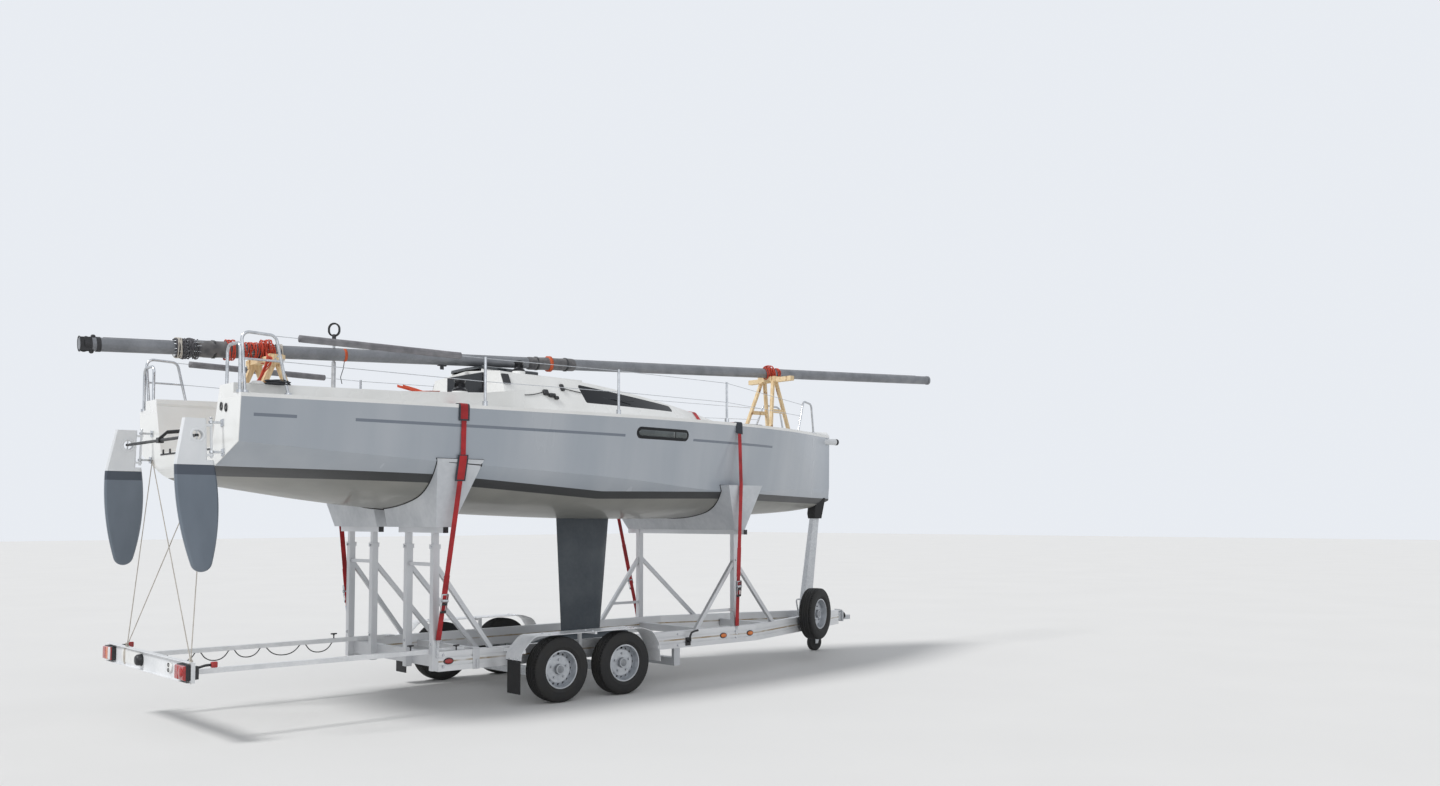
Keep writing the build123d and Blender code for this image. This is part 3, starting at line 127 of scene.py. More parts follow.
class Finish:
    """The surface of one kind of piece: a Principled shader, and one way to add other nodes."""

    def __init__(self, name, fixed=None):
        self.material = bpy.data.materials.new(name)
        self.material.use_nodes = True
        self.tree = self.material.node_tree
        self.shader = next(n for n in self.tree.nodes if n.type == "BSDF_PRINCIPLED")
        for socket, value in (fixed or {}).items():
            self.shader.inputs[socket].default_value = value

    def node(self, kind, settings=None, inputs=None, give=0):
        node = self.tree.nodes.new(kind)
        for setting, value in (settings or {}).items():
            if setting == "stops":
                stops = node.color_ramp.elements
                while len(stops) < len(value):
                    stops.new(1.0)
                for stop, (position, shade) in zip(stops, value):
                    stop.position = position
                    stop.color = (shade, shade, shade, 1) if isinstance(shade, (int, float)) else shade
            else:
                setattr(node, setting, value)
        for socket, value in (inputs or {}).items():
            if isinstance(value, Reading):
                self.tree.links.new(value.socket, node.inputs[socket])
            else:
                node.inputs[socket].default_value = value
        return Reading(self, node.outputs[give])

    def set(self, socket, value):
        """Gives one of the shader's own sockets a reading or a number."""
        if isinstance(value, Reading):
            self.tree.links.new(value.socket, self.shader.inputs[socket])
        else:
            self.shader.inputs[socket].default_value = value

    def place(self):
        return self.node("ShaderNodeTexCoord", give="Object")

    def axes(self):
        """The point's own x, y and z, in metres."""
        split = self.node("ShaderNodeSeparateXYZ", None, {0: self.place()})
        return [Reading(self, socket) for socket in split.socket.node.outputs]

    def cloud(self, scale, detail=3.0, stretch=(1, 1, 1)):
        """Soft noise, from about 0.3 to 0.7."""
        spot = self.node("ShaderNodeMapping", None, {"Vector": self.place(), "Scale": stretch})
        return self.node("ShaderNodeTexNoise", None, {"Vector": spot, "Scale": scale, "Detail": detail}, "Fac")

    def steep(self, reading, low, high):
        """0 below low and 1 above high, with a straight rise between them."""
        return self.node("ShaderNodeMapRange", None, {0: reading, 1: low, 2: high, 3: 0.0, 4: 1.0})

    def mix(self, share, first, second):
        return self.node("ShaderNodeMix", {"data_type": "RGBA"}, {0: share, 6: first, 7: second}, 2)

    def relief(self, height, depth, strength=0.6):
        self.set("Normal", self.node("ShaderNodeBump", None, {"Strength": strength, "Distance": depth, "Height": height}, "Normal"))


floor_finish = Finish("floor_paint", {"Roughness": 0.95})
floor_finish.set("Base Color", floor_finish.mix(floor_finish.cloud(0.6), colour(222, 221, 219), colour(228, 227, 225)))
floor_mesh = bpy.data.meshes.new("floor")
floor_mesh.from_pydata([(-60, -60, 0), (90, -60, 0), (90, 90, 0), (-60, 90, 0)], [], [(0, 1, 2, 3)])
floor_mesh.materials.append(floor_finish.material)
floor = bpy.data.objects.new("floor", floor_mesh)
bpy.context.collection.objects.link(floor)
lights = (("key", 2.1, 14, (-0.62, 0.12, 0.78)), ("fill", 0.55, 60, (-0.35, -0.9, 0.35)))
for name, strength, spread, towards in lights:
    light = bpy.data.lights.new(name, "SUN")
    light.energy = strength
    light.angle = radians(spread)
    lamp_object = bpy.data.objects.new(name, light)
    lamp_object.rotation_mode = "QUATERNION"
    lamp_object.rotation_quaternion = Vector(towards).to_track_quat("Z", "Y")
    bpy.context.collection.objects.link(lamp_object)
world = bpy.data.worlds.new("sky")
bpy.context.scene.world = world
world.use_nodes = True
sky = world.node_tree
sky_shader = sky.nodes["Background"]
rays = sky.nodes.new("ShaderNodeLightPath")
direct = None
for ray in ("Is Camera Ray", "Is Glossy Ray", "Is Transmission Ray"):
    if direct is None:
        direct = rays.outputs[ray]
        continue
    either = sky.nodes.new("ShaderNodeMath")
    either.operation = "MAXIMUM"
    sky.links.new(direct, either.inputs[0])
    sky.links.new(rays.outputs[ray], either.inputs[1])
    direct = either.outputs[0]
shown = sky.nodes.new("ShaderNodeMix")
shown.inputs[2].default_value = 0.5
shown.inputs[3].default_value = 0.93
sky.links.new(direct, shown.inputs[0])
sky.links.new(shown.outputs[0], sky_shader.inputs["Strength"])
sky_shader.inputs["Color"].default_value = colour(240, 244, 250)

# Wiring for the lights: a round cable in a black jacket, tied up in loops along the port rail.
# It leaves the light board through a rubber gland and goes into the rear crossbeam.


def weathered(name, light, dark, scale, rough, relief=0.0, fixed=None):
    """A finish whose colour and gloss drift between two values, with a fine unevenness."""
    finish = Finish(name, fixed)
    drift = finish.cloud(scale)
    fine = finish.cloud(scale * 9, 4.0)
    share = finish.steep(drift * 0.7 + fine * 0.3, 0.36, 0.64)
    finish.set("Base Color", finish.mix(share, colour(*light), colour(*dark)))
    finish.set("Roughness", rough[0] + share * (rough[1] - rough[0]))
    if relief:
        finish.relief(fine, relief)
    return finish


def dress(finish, *names):
    """Gives CAD nodes their finish."""
    for name in names:
        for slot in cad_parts[name].material_slots:
            slot.material = finish.material


def solid(shape, finish):
    """A bmesh turned into a mesh, its doubles merged and its faces outwards."""
    bmesh.ops.remove_doubles(shape, verts=shape.verts, dist=0.00002)
    bmesh.ops.recalc_face_normals(shape, faces=shape.faces)
    mesh = bpy.data.meshes.new("shape")
    shape.to_mesh(mesh)
    shape.free()
    mesh.materials.append(finish.material)
    return mesh


def placed(mesh, matrix):
    """A copy of a mesh, moved to its place."""
    copy = mesh.copy()
    copy.transform(matrix)
    return copy


def joined(meshes, finish):
    """Several meshes as one, all in one finish."""
    whole = bmesh.new()
    for mesh in meshes:
        whole.from_mesh(mesh)
    mesh = bpy.data.meshes.new("joined")
    whole.to_mesh(mesh)
    whole.free()
    mesh.materials.clear()
    mesh.materials.append(finish.material)
    mesh.polygons.foreach_set("material_index", [0] * len(mesh.polygons))
    return mesh


def fit(name, mesh, body, smooth=False):
    """Puts a finished mesh into the scene, on its body."""
    mesh.name = name
    if smooth:
        mesh.shade_smooth()
    piece = bpy.data.objects.new(name, mesh)
    bpy.context.collection.objects.link(piece)
    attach(piece, body)
    return piece


def turned(line, segments, finish):
    """A form turned about Z from (radius, height) points that start and end on the axis."""
    shape = bmesh.new()
    points = [shape.verts.new((r, 0, z)) for r, z in line]
    edges = [shape.edges.new(pair) for pair in zip(points, points[1:])]
    bmesh.ops.spin(shape, geom=points + edges, axis=(0, 0, 1), cent=(0, 0, 0), steps=segments, angle=2 * pi, dvec=(0, 0, 0))
    return solid(shape, finish)


def facing(place, way, turn="X"):
    """The matrix that sets a form at a place with its Z along the way."""
    return Matrix.Translation(place) @ Vector(way).to_track_quat("Z", turn).to_matrix().to_4x4()


cable_jacket = weathered("cable_jacket", (34, 34, 35), (48, 48, 50), 20.0, (0.5, 0.66), 0.0002)
cable_y = 0.790
cable_wide = 0.010
cable_route = (
    (-3.640, 0.530), (-3.612, 0.528), (-3.543, 0.425), (-3.367, 0.425), (-3.280, 0.550), (-3.208, 0.432),
    (-3.062, 0.432), (-2.990, 0.550), (-2.915, 0.425), (-2.765, 0.425), (-2.690, 0.550), (-2.618, 0.432),
    (-2.472, 0.432), (-2.400, 0.550), (-2.304, 0.425), (-2.111, 0.425), (-2.015, 0.550), (-1.936, 0.425),
    (-1.779, 0.425), (-1.700, 0.545), (-1.670, 0.513), (-1.610, 0.513), (-1.580, 0.530),
)
cable_line = bpy.data.curves.new("light_cable_jacket", "CURVE")
cable_line.dimensions = "3D"
cable_line.bevel_depth = cable_wide / 2
cable_line.bevel_resolution = 3
cable_line.resolution_u = 6
cable_line.use_fill_caps = True
cable_run = cable_line.splines.new("NURBS")
cable_run.points.add(len(cable_route) - 1)
for point, (x, z) in zip(cable_run.points, cable_route):
    point.co = (x, cable_y, z, 1)
cable_run.order_u = 3
cable_run.use_endpoint_u = True
cable_line.materials.append(cable_jacket.material)
cable = bpy.data.objects.new("light_cable_jacket", cable_line)
bpy.context.collection.objects.link(cable)
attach(cable, boat)
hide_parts("light_cable")
gland_line = ((0, -0.004), (0.012, -0.004), (0.012, 0.004), (0.010, 0.006), (0.0068, 0.026), (0.0056, 0.028), (0, 0.028))
gland = fit(
    "light_cable_gland", placed(turned(gland_line, 20, cable_jacket), facing((-3.638, cable_y, 0.530), (1, 0, -0.07))), boat,
    True,
)

# Hull: moulded glass fibre. The topsides' grey is partly painted shade, set between white and the
# tone of the shaded side. A darker cove line runs below the sheer, and a dark boot line parts the
# topsides from the primed bottom. The transom is left white.
topsides = (164, 171, 179)
boot_top_at = ((-3.41, 2.131), (-1.74, 2.094), (0.17, 1.972), (1.8, 1.99), (4.6, 1.952))
boot_high = 0.072
cove = (2.503, 2.529)
cove_runs = ((-3.304, -2.967), (-2.488, 0.311), (1.277, 2.77))
mould_low = 1.9
mould_span = 0.3
hull = Finish("gelcoat_grey_partly_painted_shade", {"Coat Weight": 0.25, "Coat Roughness": 0.08})
x, y, z = hull.axes()
boot_stops = [((at + 3.5) / 8.2, (top - mould_low) / mould_span) for at, top in boot_top_at]
boot_top = hull.node("ShaderNodeValToRGB", {"stops": boot_stops}, {0: (x + 3.5) / 8.2}) * mould_span + mould_low
# Lighter vertical streaks on the topsides: partly rain marks, partly painted reflections.
streaks_and_painted_reflections = hull.cloud(1.3, 4.0, (1.6, 1.0, 0.22))
drift = hull.cloud(0.55, 2.0)
skin = hull.mix(hull.steep(streaks_and_painted_reflections, 0.4, 0.68), colour(*topsides), colour(177, 182, 188))
skin = hull.mix(hull.steep(drift, 0.35, 0.7) * 0.5, skin, colour(154, 162, 171))
in_cove = x.between(*cove_runs[0]) + x.between(*cove_runs[1]) + x.between(*cove_runs[2])
skin = hull.mix(in_cove * z.between(*cove), skin, colour(116, 124, 135))
primer = hull.mix(hull.steep(hull.cloud(2.1, 5.0), 0.35, 0.7), colour(144, 143, 137), colour(129, 129, 124))
skin = hull.mix(z < boot_top, skin, colour(56, 57, 58))
skin = hull.mix(z < boot_top - boot_high, skin, primer)
skin = hull.mix((x < -3.405) * (z > boot_top - boot_high), skin, colour(236, 236, 233))
hull.set("Base Color", skin)
hull.set("Roughness", 0.2 + (z < boot_top) * 0.32 + hull.steep(streaks_and_painted_reflections, 0.4, 0.7) * 0.08)
hull.relief(hull.cloud(2.0, 1.0), 0.004, 0.12)
dress(hull, "hull")

# Deck, coaming and coachroof: one white moulding, bonded to the hull at the sheer. The walked
# areas carry a fine moulded grip. A dark sill line crosses the transom opening.
deck = Finish("gelcoat_white", {"Coat Weight": 0.2, "Coat Roughness": 0.1})
grip = deck.node("ShaderNodeTexVoronoi", None, {"Vector": deck.place(), "Scale": 160.0}, "Distance")
surface_way = deck.node("ShaderNodeNewGeometry", give="Normal")
up = Reading(deck, deck.node("ShaderNodeSeparateXYZ", None, {0: surface_way}).socket.node.outputs[2])
grime = deck.steep(deck.cloud(2.6, 5.0), 0.42, 0.72)
walked = deck.steep(up, 0.9, 0.98)
deck.set("Base Color", deck.mix(grime, colour(238, 238, 236), deck.mix(walked, colour(229, 229, 226), colour(214, 215, 213))))
deck.set("Roughness", 0.26 + walked * 0.3 + grime * 0.06)
deck.relief(grip * walked, 0.0012, 0.5)
dress(deck, "deck")


def block(low, high, bevel, finish, segments=2):
    """A box between two corners with rounded edges."""
    shape = bmesh.new()
    bmesh.ops.create_cube(shape, size=1.0)
    size = Vector(high) - Vector(low)
    bmesh.ops.scale(shape, vec=size, verts=shape.verts)
    bmesh.ops.translate(shape, vec=Vector(low) + size / 2, verts=shape.verts)
    if bevel:
        bmesh.ops.bevel(shape, geom=shape.edges[:], offset=bevel, segments=segments, profile=0.5, affect="EDGES")
    return solid(shape, finish)


def tube(points, radius, finish, sides=8):
    """A round bar or rope along a line of points, its ends closed."""
    points = [Vector(p) for p in points]
    shape = bmesh.new()
    rings = []
    across = (points[1] - points[0]).orthogonal().normalized()
    for i, point in enumerate(points):
        way = (points[min(i + 1, len(points) - 1)] - points[max(i - 1, 0)]).normalized()
        across = (across - way * across.dot(way)).normalized()
        other = way.cross(across)
        rings.append([
            shape.verts.new(point + (across * cos(2 * pi * k / sides) + other * sin(2 * pi * k / sides)) * radius)
            for k in range(sides)
        ])
    for near, far in zip(rings, rings[1:]):
        for k in range(sides):
            shape.faces.new((near[k], near[(k + 1) % sides], far[(k + 1) % sides], far[k]))
    shape.faces.new(rings[0])
    shape.faces.new(rings[-1])
    return solid(shape, finish)


black_fitting = weathered("black_fitting", (28, 28, 30), (44, 44, 47), 40.0, (0.35, 0.5), 0.0002)
transom_x = -3.410
for name, across, high in (("inner", -0.803, 2.597), ("outer", -0.903, 2.582)):
    eye = [
        (transom_x - 0.004, across + 0.020 * cos(k * pi / 8), high + 0.030 * sin(k * pi / 8)) for k in range(17)
    ]
    fit(f"transom_slot_{name}", tube(eye, 0.0055, black_fitting), boat, True)
sill = [block((transom_x - 0.004, -0.60, 2.262), (transom_x, 0.60, 2.276), 0.0015, black_fitting)]
for across in (-0.35, 0.0, 0.35, 0.52):
    sill.append(block((transom_x - 0.010, across - 0.012, 2.272), (transom_x, across + 0.012, 2.312), 0.003, black_fitting))
fit("transom_sill_trim", joined(sill, black_fitting), boat)
cap_line = ((0, 0.024), (0.034, 0.022), (0.050, 0.014), (0.056, 0.004), (0.060, 0.0), (0, 0.0))
vent_cap = weathered("vent_cap_white", (236, 236, 234), (222, 222, 220), 20.0, (0.25, 0.4), 0.0001)
fit("deck_vent_cap", placed(turned(cap_line, 32, vent_cap), facing((-3.255, -1.105, 2.762), (0, 0, 1))), boat, True)

# Windows and hatches: dark tinted acrylic, bonded flush.
glass = weathered("dark_acrylic", (8, 12, 18), (13, 18, 25), 3.0, (0.08, 0.16), 0, {"Coat Weight": 0.1, "Specular IOR Level": 0.25})
dress(glass, "windows")
pane_ends = (0.486, 1.168)
pane_low_top = (2.524, 2.584)
pane_corner = 0.018
mullion_at = 0.995
window_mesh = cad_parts["windows"].data
window_tree = BVHTree.FromPolygons([v.co for v in window_mesh.vertices], [tuple(p.vertices) for p in window_mesh.polygons])
# The hull windows' inner panes are a lighter grey-green than the dark frame round them: a painted reflection on the
# glass.
pane_painted_reflection = weathered("pane_glass_painted_reflection", (58, 66, 68), (78, 86, 86), 6.0, (0.06, 0.12), 0, {"Coat Weight": 0.4})
for name, side in (("port", 1), ("starboard", -1)):
    for number, (x0, x1) in enumerate(((pane_ends[0], mullion_at - 0.006), (mullion_at + 0.006, pane_ends[1]))):
        pane = bmesh.new()
        columns = []
        steps = 20
        for k in range(steps + 1):
            along = x0 + (x1 - x0) * k / steps
            inset = max(0.0, pane_corner - min(along - pane_ends[0], pane_ends[1] - along))
            cut = pane_corner - (pane_corner ** 2 - inset ** 2) ** 0.5
            low, top = pane_low_top[0] + cut, pane_low_top[1] - cut
            column = []
            for proud in (0.0014, -0.0010):
                for high in (low, (low + top) / 2, top):
                    met, way, _, _ = window_tree.ray_cast(Vector((along, side * 1.6, high)), Vector((0, -side, 0)))
                    column.append(pane.verts.new(met + way * proud))
            columns.append([column[0], column[1], column[2], column[5], column[4], column[3]])
        for near, far in zip(columns, columns[1:]):
            for k in range(6):
                pane.faces.new((near[k], near[(k + 1) % 6], far[(k + 1) % 6], far[k]))
        pane.faces.new(columns[0])
        pane.faces.new(columns[-1])
        fit(f"hull_window_{name}_pane_{number}", solid(pane, pane_painted_reflection), boat, True)
smoked = weathered("smoked_acrylic", (40, 44, 48), (58, 62, 66), 4.0, (0.08, 0.18), 0, {"Coat Weight": 0.5, "Coat Roughness": 0.06})
dress(smoked, "sliding_hatch", "fore_hatch")

# Keel: a cast fin and bulb, faired and painted a flat dark grey.
keel = weathered("fin_paint", (74, 81, 87), (62, 69, 76), 3.5, (0.42, 0.55), 0.0006)
dress(keel, "keel_fin", "keel_bulb")

# Rudders: white above the water, a dark band, and slate grey below. Each hangs on a long steel
# pin between two gudgeons, and a white ring lines the hole for the link.
rudder = Finish("rudder_gelcoat", {"Coat Weight": 0.15, "Coat Roughness": 0.12})
x, y, z = rudder.axes()
worn = rudder.steep(rudder.cloud(3.5, 5.0, (1, 1, 0.4)), 0.38, 0.68)
blade = rudder.mix(worn, colour(228, 230, 232), colour(214, 217, 220))
blade = rudder.mix(z < 2.128, blade, colour(70, 78, 90))
blade = rudder.mix(z < 2.05, blade, rudder.mix(worn, colour(112, 122, 133), colour(100, 110, 121)))
rudder.set("Base Color", blade)
rudder.set("Roughness", 0.3 + worn * 0.12)
rudder.relief(rudder.cloud(5.0, 2.0), 0.003, 0.12)
dress(rudder, "rudder_port", "rudder_starboard")
steel = weathered("stainless", (205, 207, 210), (178, 181, 185), 22.0, (0.14, 0.3), 0.0001, {"Metallic": 1.0})
dress(steel, "rudder_gudgeons", "pushpits", "stanchions", "pulpits", "lifelines")
black_bar = weathered("black_bar", (30, 31, 33), (40, 41, 43), 12.0, (0.35, 0.5), 0.0002)
dress(black_bar, "rudder_link")
rudder_cant = radians(6)
rudder_axis = Vector((-3.500, 0.852, 2.300))
link_hole = (-0.110, 0.058)
ring_line = ((0.039, 0.0), (0.039, 0.0035), (0.044, 0.0052), (0.054, 0.0045), (0.060, 0.0015), (0.060, 0.0))


def washer(line, segments, finish):
    """A ring turned about Z from a closed line of (radius, height) points."""
    shape = bmesh.new()
    points = [shape.verts.new((r, 0, z)) for r, z in line]
    edges = [shape.edges.new(pair) for pair in zip(points, points[1:] + points[:1])]
    bmesh.ops.spin(shape, geom=points + edges, axis=(0, 0, 1), cent=(0, 0, 0), steps=segments, angle=2 * pi, dvec=(0, 0, 0))
    return solid(shape, finish)


def surface(node, start, way):
    """The point where a line from start first meets a CAD node, and the way that face looks."""
    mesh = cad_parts[node].data
    tree = BVHTree.FromPolygons([v.co for v in mesh.vertices], [tuple(p.vertices) for p in mesh.polygons])
    point, normal, _, _ = tree.ray_cast(Vector(start), Vector(way))
    return point, normal


hole_lining = washer(ring_line, 40, rudder)
for name, side in (("port", 1), ("starboard", -1)):
    down = Vector((0, -side * sin(rudder_cant), cos(rudder_cant)))
    out = Vector((0, side * cos(rudder_cant), sin(rudder_cant)))
    axis = Vector((rudder_axis.x, side * rudder_axis.y, rudder_axis.z))
    hole = axis + Vector((link_hole[0], 0, 0)) + down * link_hole[1]
    linings = []
    for way in (out, -out):
        rim_point = hole + Vector((-0.050, 0, 0)) + way * 0.2
        met, _ = surface(f"rudder_{name}", rim_point, -way)
        linings.append(placed(hole_lining, facing(hole + way * ((met - hole).dot(way) - 0.0006), way)))
    fit(f"rudder_{name}_hole_lining", joined(linings, rudder), f"rudder_{name}", True)
    pin = [axis + down * level for level in (-0.100, 0.0, 0.196)]
    heads = [placed(turned(((0, 0.008), (0.012, 0.007), (0.013, 0.0), (0, 0.0)), 16, steel), facing(pin[-1], down))]
    fit(f"rudder_{name}_pin", joined([tube(pin, 0.0070, steel, 12)] + heads, steel), boat, True)

# Rails: welded stainless tube on round flanges, each held by four screws, with bare wire between
# the stanchions. The top wires wear split foam tubes where people sit.


def ring_tree():
    """Geometry Nodes that set copies of a unit round its own Z axis and join them."""
    tree = bpy.data.node_groups.new("ring_of_units", "GeometryNodeTree")
    socket = tree.interface.new_socket
    socket("Unit", in_out="INPUT", socket_type="NodeSocketGeometry")
    names = {
        "Copies": socket("Copies", in_out="INPUT", socket_type="NodeSocketInt").identifier,
        "Turn": socket("Turn", in_out="INPUT", socket_type="NodeSocketFloat").identifier,
        "Material": socket("Material", in_out="INPUT", socket_type="NodeSocketMaterial").identifier,
    }
    socket("Ring", in_out="OUTPUT", socket_type="NodeSocketGeometry")
    entry = tree.nodes.new("NodeGroupInput")
    leave = tree.nodes.new("NodeGroupOutput")
    points = tree.nodes.new("GeometryNodePoints")
    number = tree.nodes.new("GeometryNodeInputIndex")
    angle = tree.nodes.new("ShaderNodeMath")
    angle.operation = "MULTIPLY"
    turn = tree.nodes.new("ShaderNodeCombineXYZ")
    rotation = tree.nodes.new("FunctionNodeEulerToRotation")
    place = tree.nodes.new("GeometryNodeInstanceOnPoints")
    real = tree.nodes.new("GeometryNodeRealizeInstances")
    painted = tree.nodes.new("GeometryNodeSetMaterial")
    for source, target in (
        (entry.outputs["Copies"], points.inputs["Count"]), (number.outputs[0], angle.inputs[0]),
        (entry.outputs["Turn"], angle.inputs[1]), (angle.outputs[0], turn.inputs["Z"]),
        (turn.outputs[0], rotation.inputs[0]), (points.outputs[0], place.inputs["Points"]),
        (entry.outputs["Unit"], place.inputs["Instance"]), (rotation.outputs[0], place.inputs["Rotation"]),
        (place.outputs[0], real.inputs[0]), (real.outputs[0], painted.inputs["Geometry"]),
        (entry.outputs["Material"], painted.inputs["Material"]), (painted.outputs[0], leave.inputs[0]),
    ):
        tree.links.new(source, target)
    return tree, names


ring_nodes, ring_inputs = ring_tree()


def ring_of(unit, copies, finish):
    """A mesh of that many copies of a unit, evenly round Z."""
    carrier = bpy.data.objects.new("unit", unit)
    bpy.context.collection.objects.link(carrier)
    modifier = carrier.modifiers.new("ring", "NODES")
    modifier.node_group = ring_nodes
    modifier[ring_inputs["Copies"]] = copies
    modifier[ring_inputs["Turn"]] = 2 * pi / copies
    modifier[ring_inputs["Material"]] = finish.material
    built = carrier.evaluated_get(bpy.context.evaluated_depsgraph_get())
    shape = bmesh.new()
    shape.from_mesh(bpy.data.meshes.new_from_object(built))
    bpy.data.objects.remove(carrier)
    return solid(shape, finish)


def screw_unit(circle, across, high, sides):
    """One bolt or screw head on its washer, standing on a circle."""
    shape = bmesh.new()
    for radius, low, top, count in ((across * 0.62, 0.0, high * 0.25, 14), (across * 0.5, high * 0.2, high, sides)):
        bmesh.ops.create_cone(
            shape, cap_ends=True, segments=count, radius1=radius, radius2=radius * 0.92, depth=top - low,
            matrix=Matrix.Translation((circle, 0, (low + top) / 2)),
        )
    return solid(shape, steel)


flange_line = ((0, 0.006), (0.018, 0.006), (0.020, 0.0055), (0.037, 0.0050), (0.039, 0.0035), (0.039, 0.0), (0, 0))
flange = joined([
    turned(flange_line, 28, steel),
    placed(ring_of(screw_unit(0.028, 0.009, 0.004, 12), 4, steel), Matrix.Translation((0, 0, 0.0045))),
], steel)
rail_feet = [(-3.352, 1.120), (-3.010, 1.120), (3.620, 0.395), (4.050, 0.256)]
for name, side in (("port", 1), ("starboard", -1)):
    flanges = []
    for along, across in rail_feet:
        met, way = surface("deck", (along, side * across, 3.0), (0, 0, -1))
        if met:
            flanges.append(placed(flange, facing(met - way * 0.001, way)))
    fit(f"rail_flanges_{name}", joined(flanges, steel), boat)

wire_clamp = ((0, -0.020), (0.0065, -0.020), (0.0080, -0.016), (0.0080, 0.016), (0.0065, 0.020), (0, 0.020))
foam = Finish("foam_grey")
cells = foam.cloud(220.0, 2.0)
grey = foam.steep(foam.cloud(12.0, 4.0), 0.35, 0.65)
foam.set("Base Color", foam.mix(grey, colour(134, 133, 136), colour(112, 111, 115)))
foam.set("Roughness", 0.82 + grey * 0.1)
foam.relief(cells * 0.6 + foam.cloud(30.0, 2.0), 0.0014, 0.5)
foam_runs = (
    # name, the wire's aft and fore ends, where the foam starts and stops
    ("port", (-3.129, 1.120, 3.148), (-1.265, 1.2076, 3.1291), -3.006, -1.660),
    ("starboard", (-3.129, -1.120, 3.148), (-1.265, -1.2076, 3.1291), -2.931, -1.508),
)
foam_radius = 0.0295
foam_sides = 28
foam_step = 0.02
for name, aft, fore, start, end in foam_runs:
    aft, fore = Vector(aft), Vector(fore)
    way = (fore - aft).normalized()
    side_way = way.cross(Vector((0, 0, 1))).normalized()
    rise = side_way.cross(way)
    draw = Random(5)
    shape = bmesh.new()
    rings = []
    steps = int((end - start) / foam_step)
    for i in range(steps + 1):
        centre = aft + way * ((start + foam_step * i - aft.x) / way.x)
        swell = 1 + 0.02 * sin(i * 0.37) + 0.012 * draw.uniform(-1, 1)
        ring = []
        for k in range(foam_sides):
            angle = 2 * pi * k / foam_sides
            slit = 0.30 if k == 0 else 1.0
            reach = foam_radius * min(1.0, slit) * min(1.0, swell)
            ring.append(shape.verts.new(centre + (side_way * sin(angle) - rise * cos(angle)) * reach))
        rings.append(ring)
    for near, far in zip(rings, rings[1:]):
        for k in range(foam_sides):
            shape.faces.new((near[k], near[(k + 1) % foam_sides], far[(k + 1) % foam_sides], far[k]))
    shape.faces.new(rings[0])
    shape.faces.new(rings[-1])
    sleeve = fit(f"foam_sleeve_{name}", solid(shape, foam), boat, True)
    name == "port"
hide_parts("foam_tubes")

# Winches: black anodised drums on a bright base ring, with upright ribs that grip the rope and a
# star socket for the handle on top. The drum turns about its spindle.
drum = weathered("winch_black", (32, 32, 34), (52, 52, 55), 40.0, (0.25, 0.42), 0.0002, {"Metallic": 0.7})
winch_kinds = (("coaming", 0.900, -1.340, 0.066, 0.112), ("roof", 0.450, -0.420, 0.060, 0.105))
for kind, across, along, foot, high in winch_kinds:
    rib = block((foot * 0.66, -0.0016, high * 0.30), (foot * 0.735, 0.0016, high * 0.66), 0.0006, drum, 1)
    ribs = ring_of(rib, 30, drum)
    crown = turned(((0, high + 0.0005), (0.010, high + 0.0005), (0.012, high + 0.003), (foot * 0.5, high + 0.002), (foot * 0.62, high - 0.006), (foot * 0.62, high - 0.012), (0, high - 0.012)), 36, drum)
    socket_plate = ring_of(block((0.004, -0.0028, high + 0.0015), (0.0125, 0.0028, high + 0.0042), 0.0008, steel, 1), 8, steel)
    skirt = washer(((foot * 0.80, 0.004), (foot * 0.98, 0.006), (foot * 0.98, 0.012), (foot * 0.80, 0.018)), 40, steel)
    for name, side in (("port", 1), ("starboard", -1)):
        node = f"winch_{kind}_{name}"
        dress(drum, node)
        low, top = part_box(node)
        foot_at = Matrix.Translation((along, side * across, top[2] - high))
        fit(f"{node}_ribs", placed(joined([ribs, crown], drum), foot_at), node)
        fit(f"{node}_bright_work", placed(joined([socket_plate, skirt], steel), foot_at), node)

# Sheets and halyards on deck: black braided rope lies coiled on the starboard quarter, and the
# roof's side carries a black organiser, rope clutches and an instrument's square face.
black_rope = Finish("black_rope")
braid = black_rope.node("ShaderNodeTexWave", {"bands_direction": "DIAGONAL"}, {"Vector": black_rope.place(), "Scale": 90.0, "Distortion": 1.5}, "Fac")
black_rope.set("Base Color", black_rope.mix(braid, colour(30, 31, 34), colour(70, 72, 76)))
black_rope.set("Roughness", 0.72 + braid * 0.12)
black_rope.relief(braid, 0.0008, 0.6)
coil_draw = Random(27)
coil_centre = Vector((-3.085, -1.100, 2.768))
coil_turns = 7
coil_steps = 26
coil_points = []
for k in range(coil_turns * coil_steps + 1):
    lap, share = divmod(k, coil_steps)
    angle = 2 * pi * share / coil_steps
    reach = 0.100 - 0.008 * (lap % 4) + 0.006 * sin(3 * angle + lap)
    wide = reach * 0.42
    lift = 0.006 + 0.0085 * (lap // 2) + 0.003 * sin(2 * angle + 1.7 * lap)
    coil_points.append(coil_centre + Vector((reach * cos(angle), wide * sin(angle), lift)))
fit("quarter_rope_coil", tube(coil_points, 0.005, black_rope, 7), boat, True)

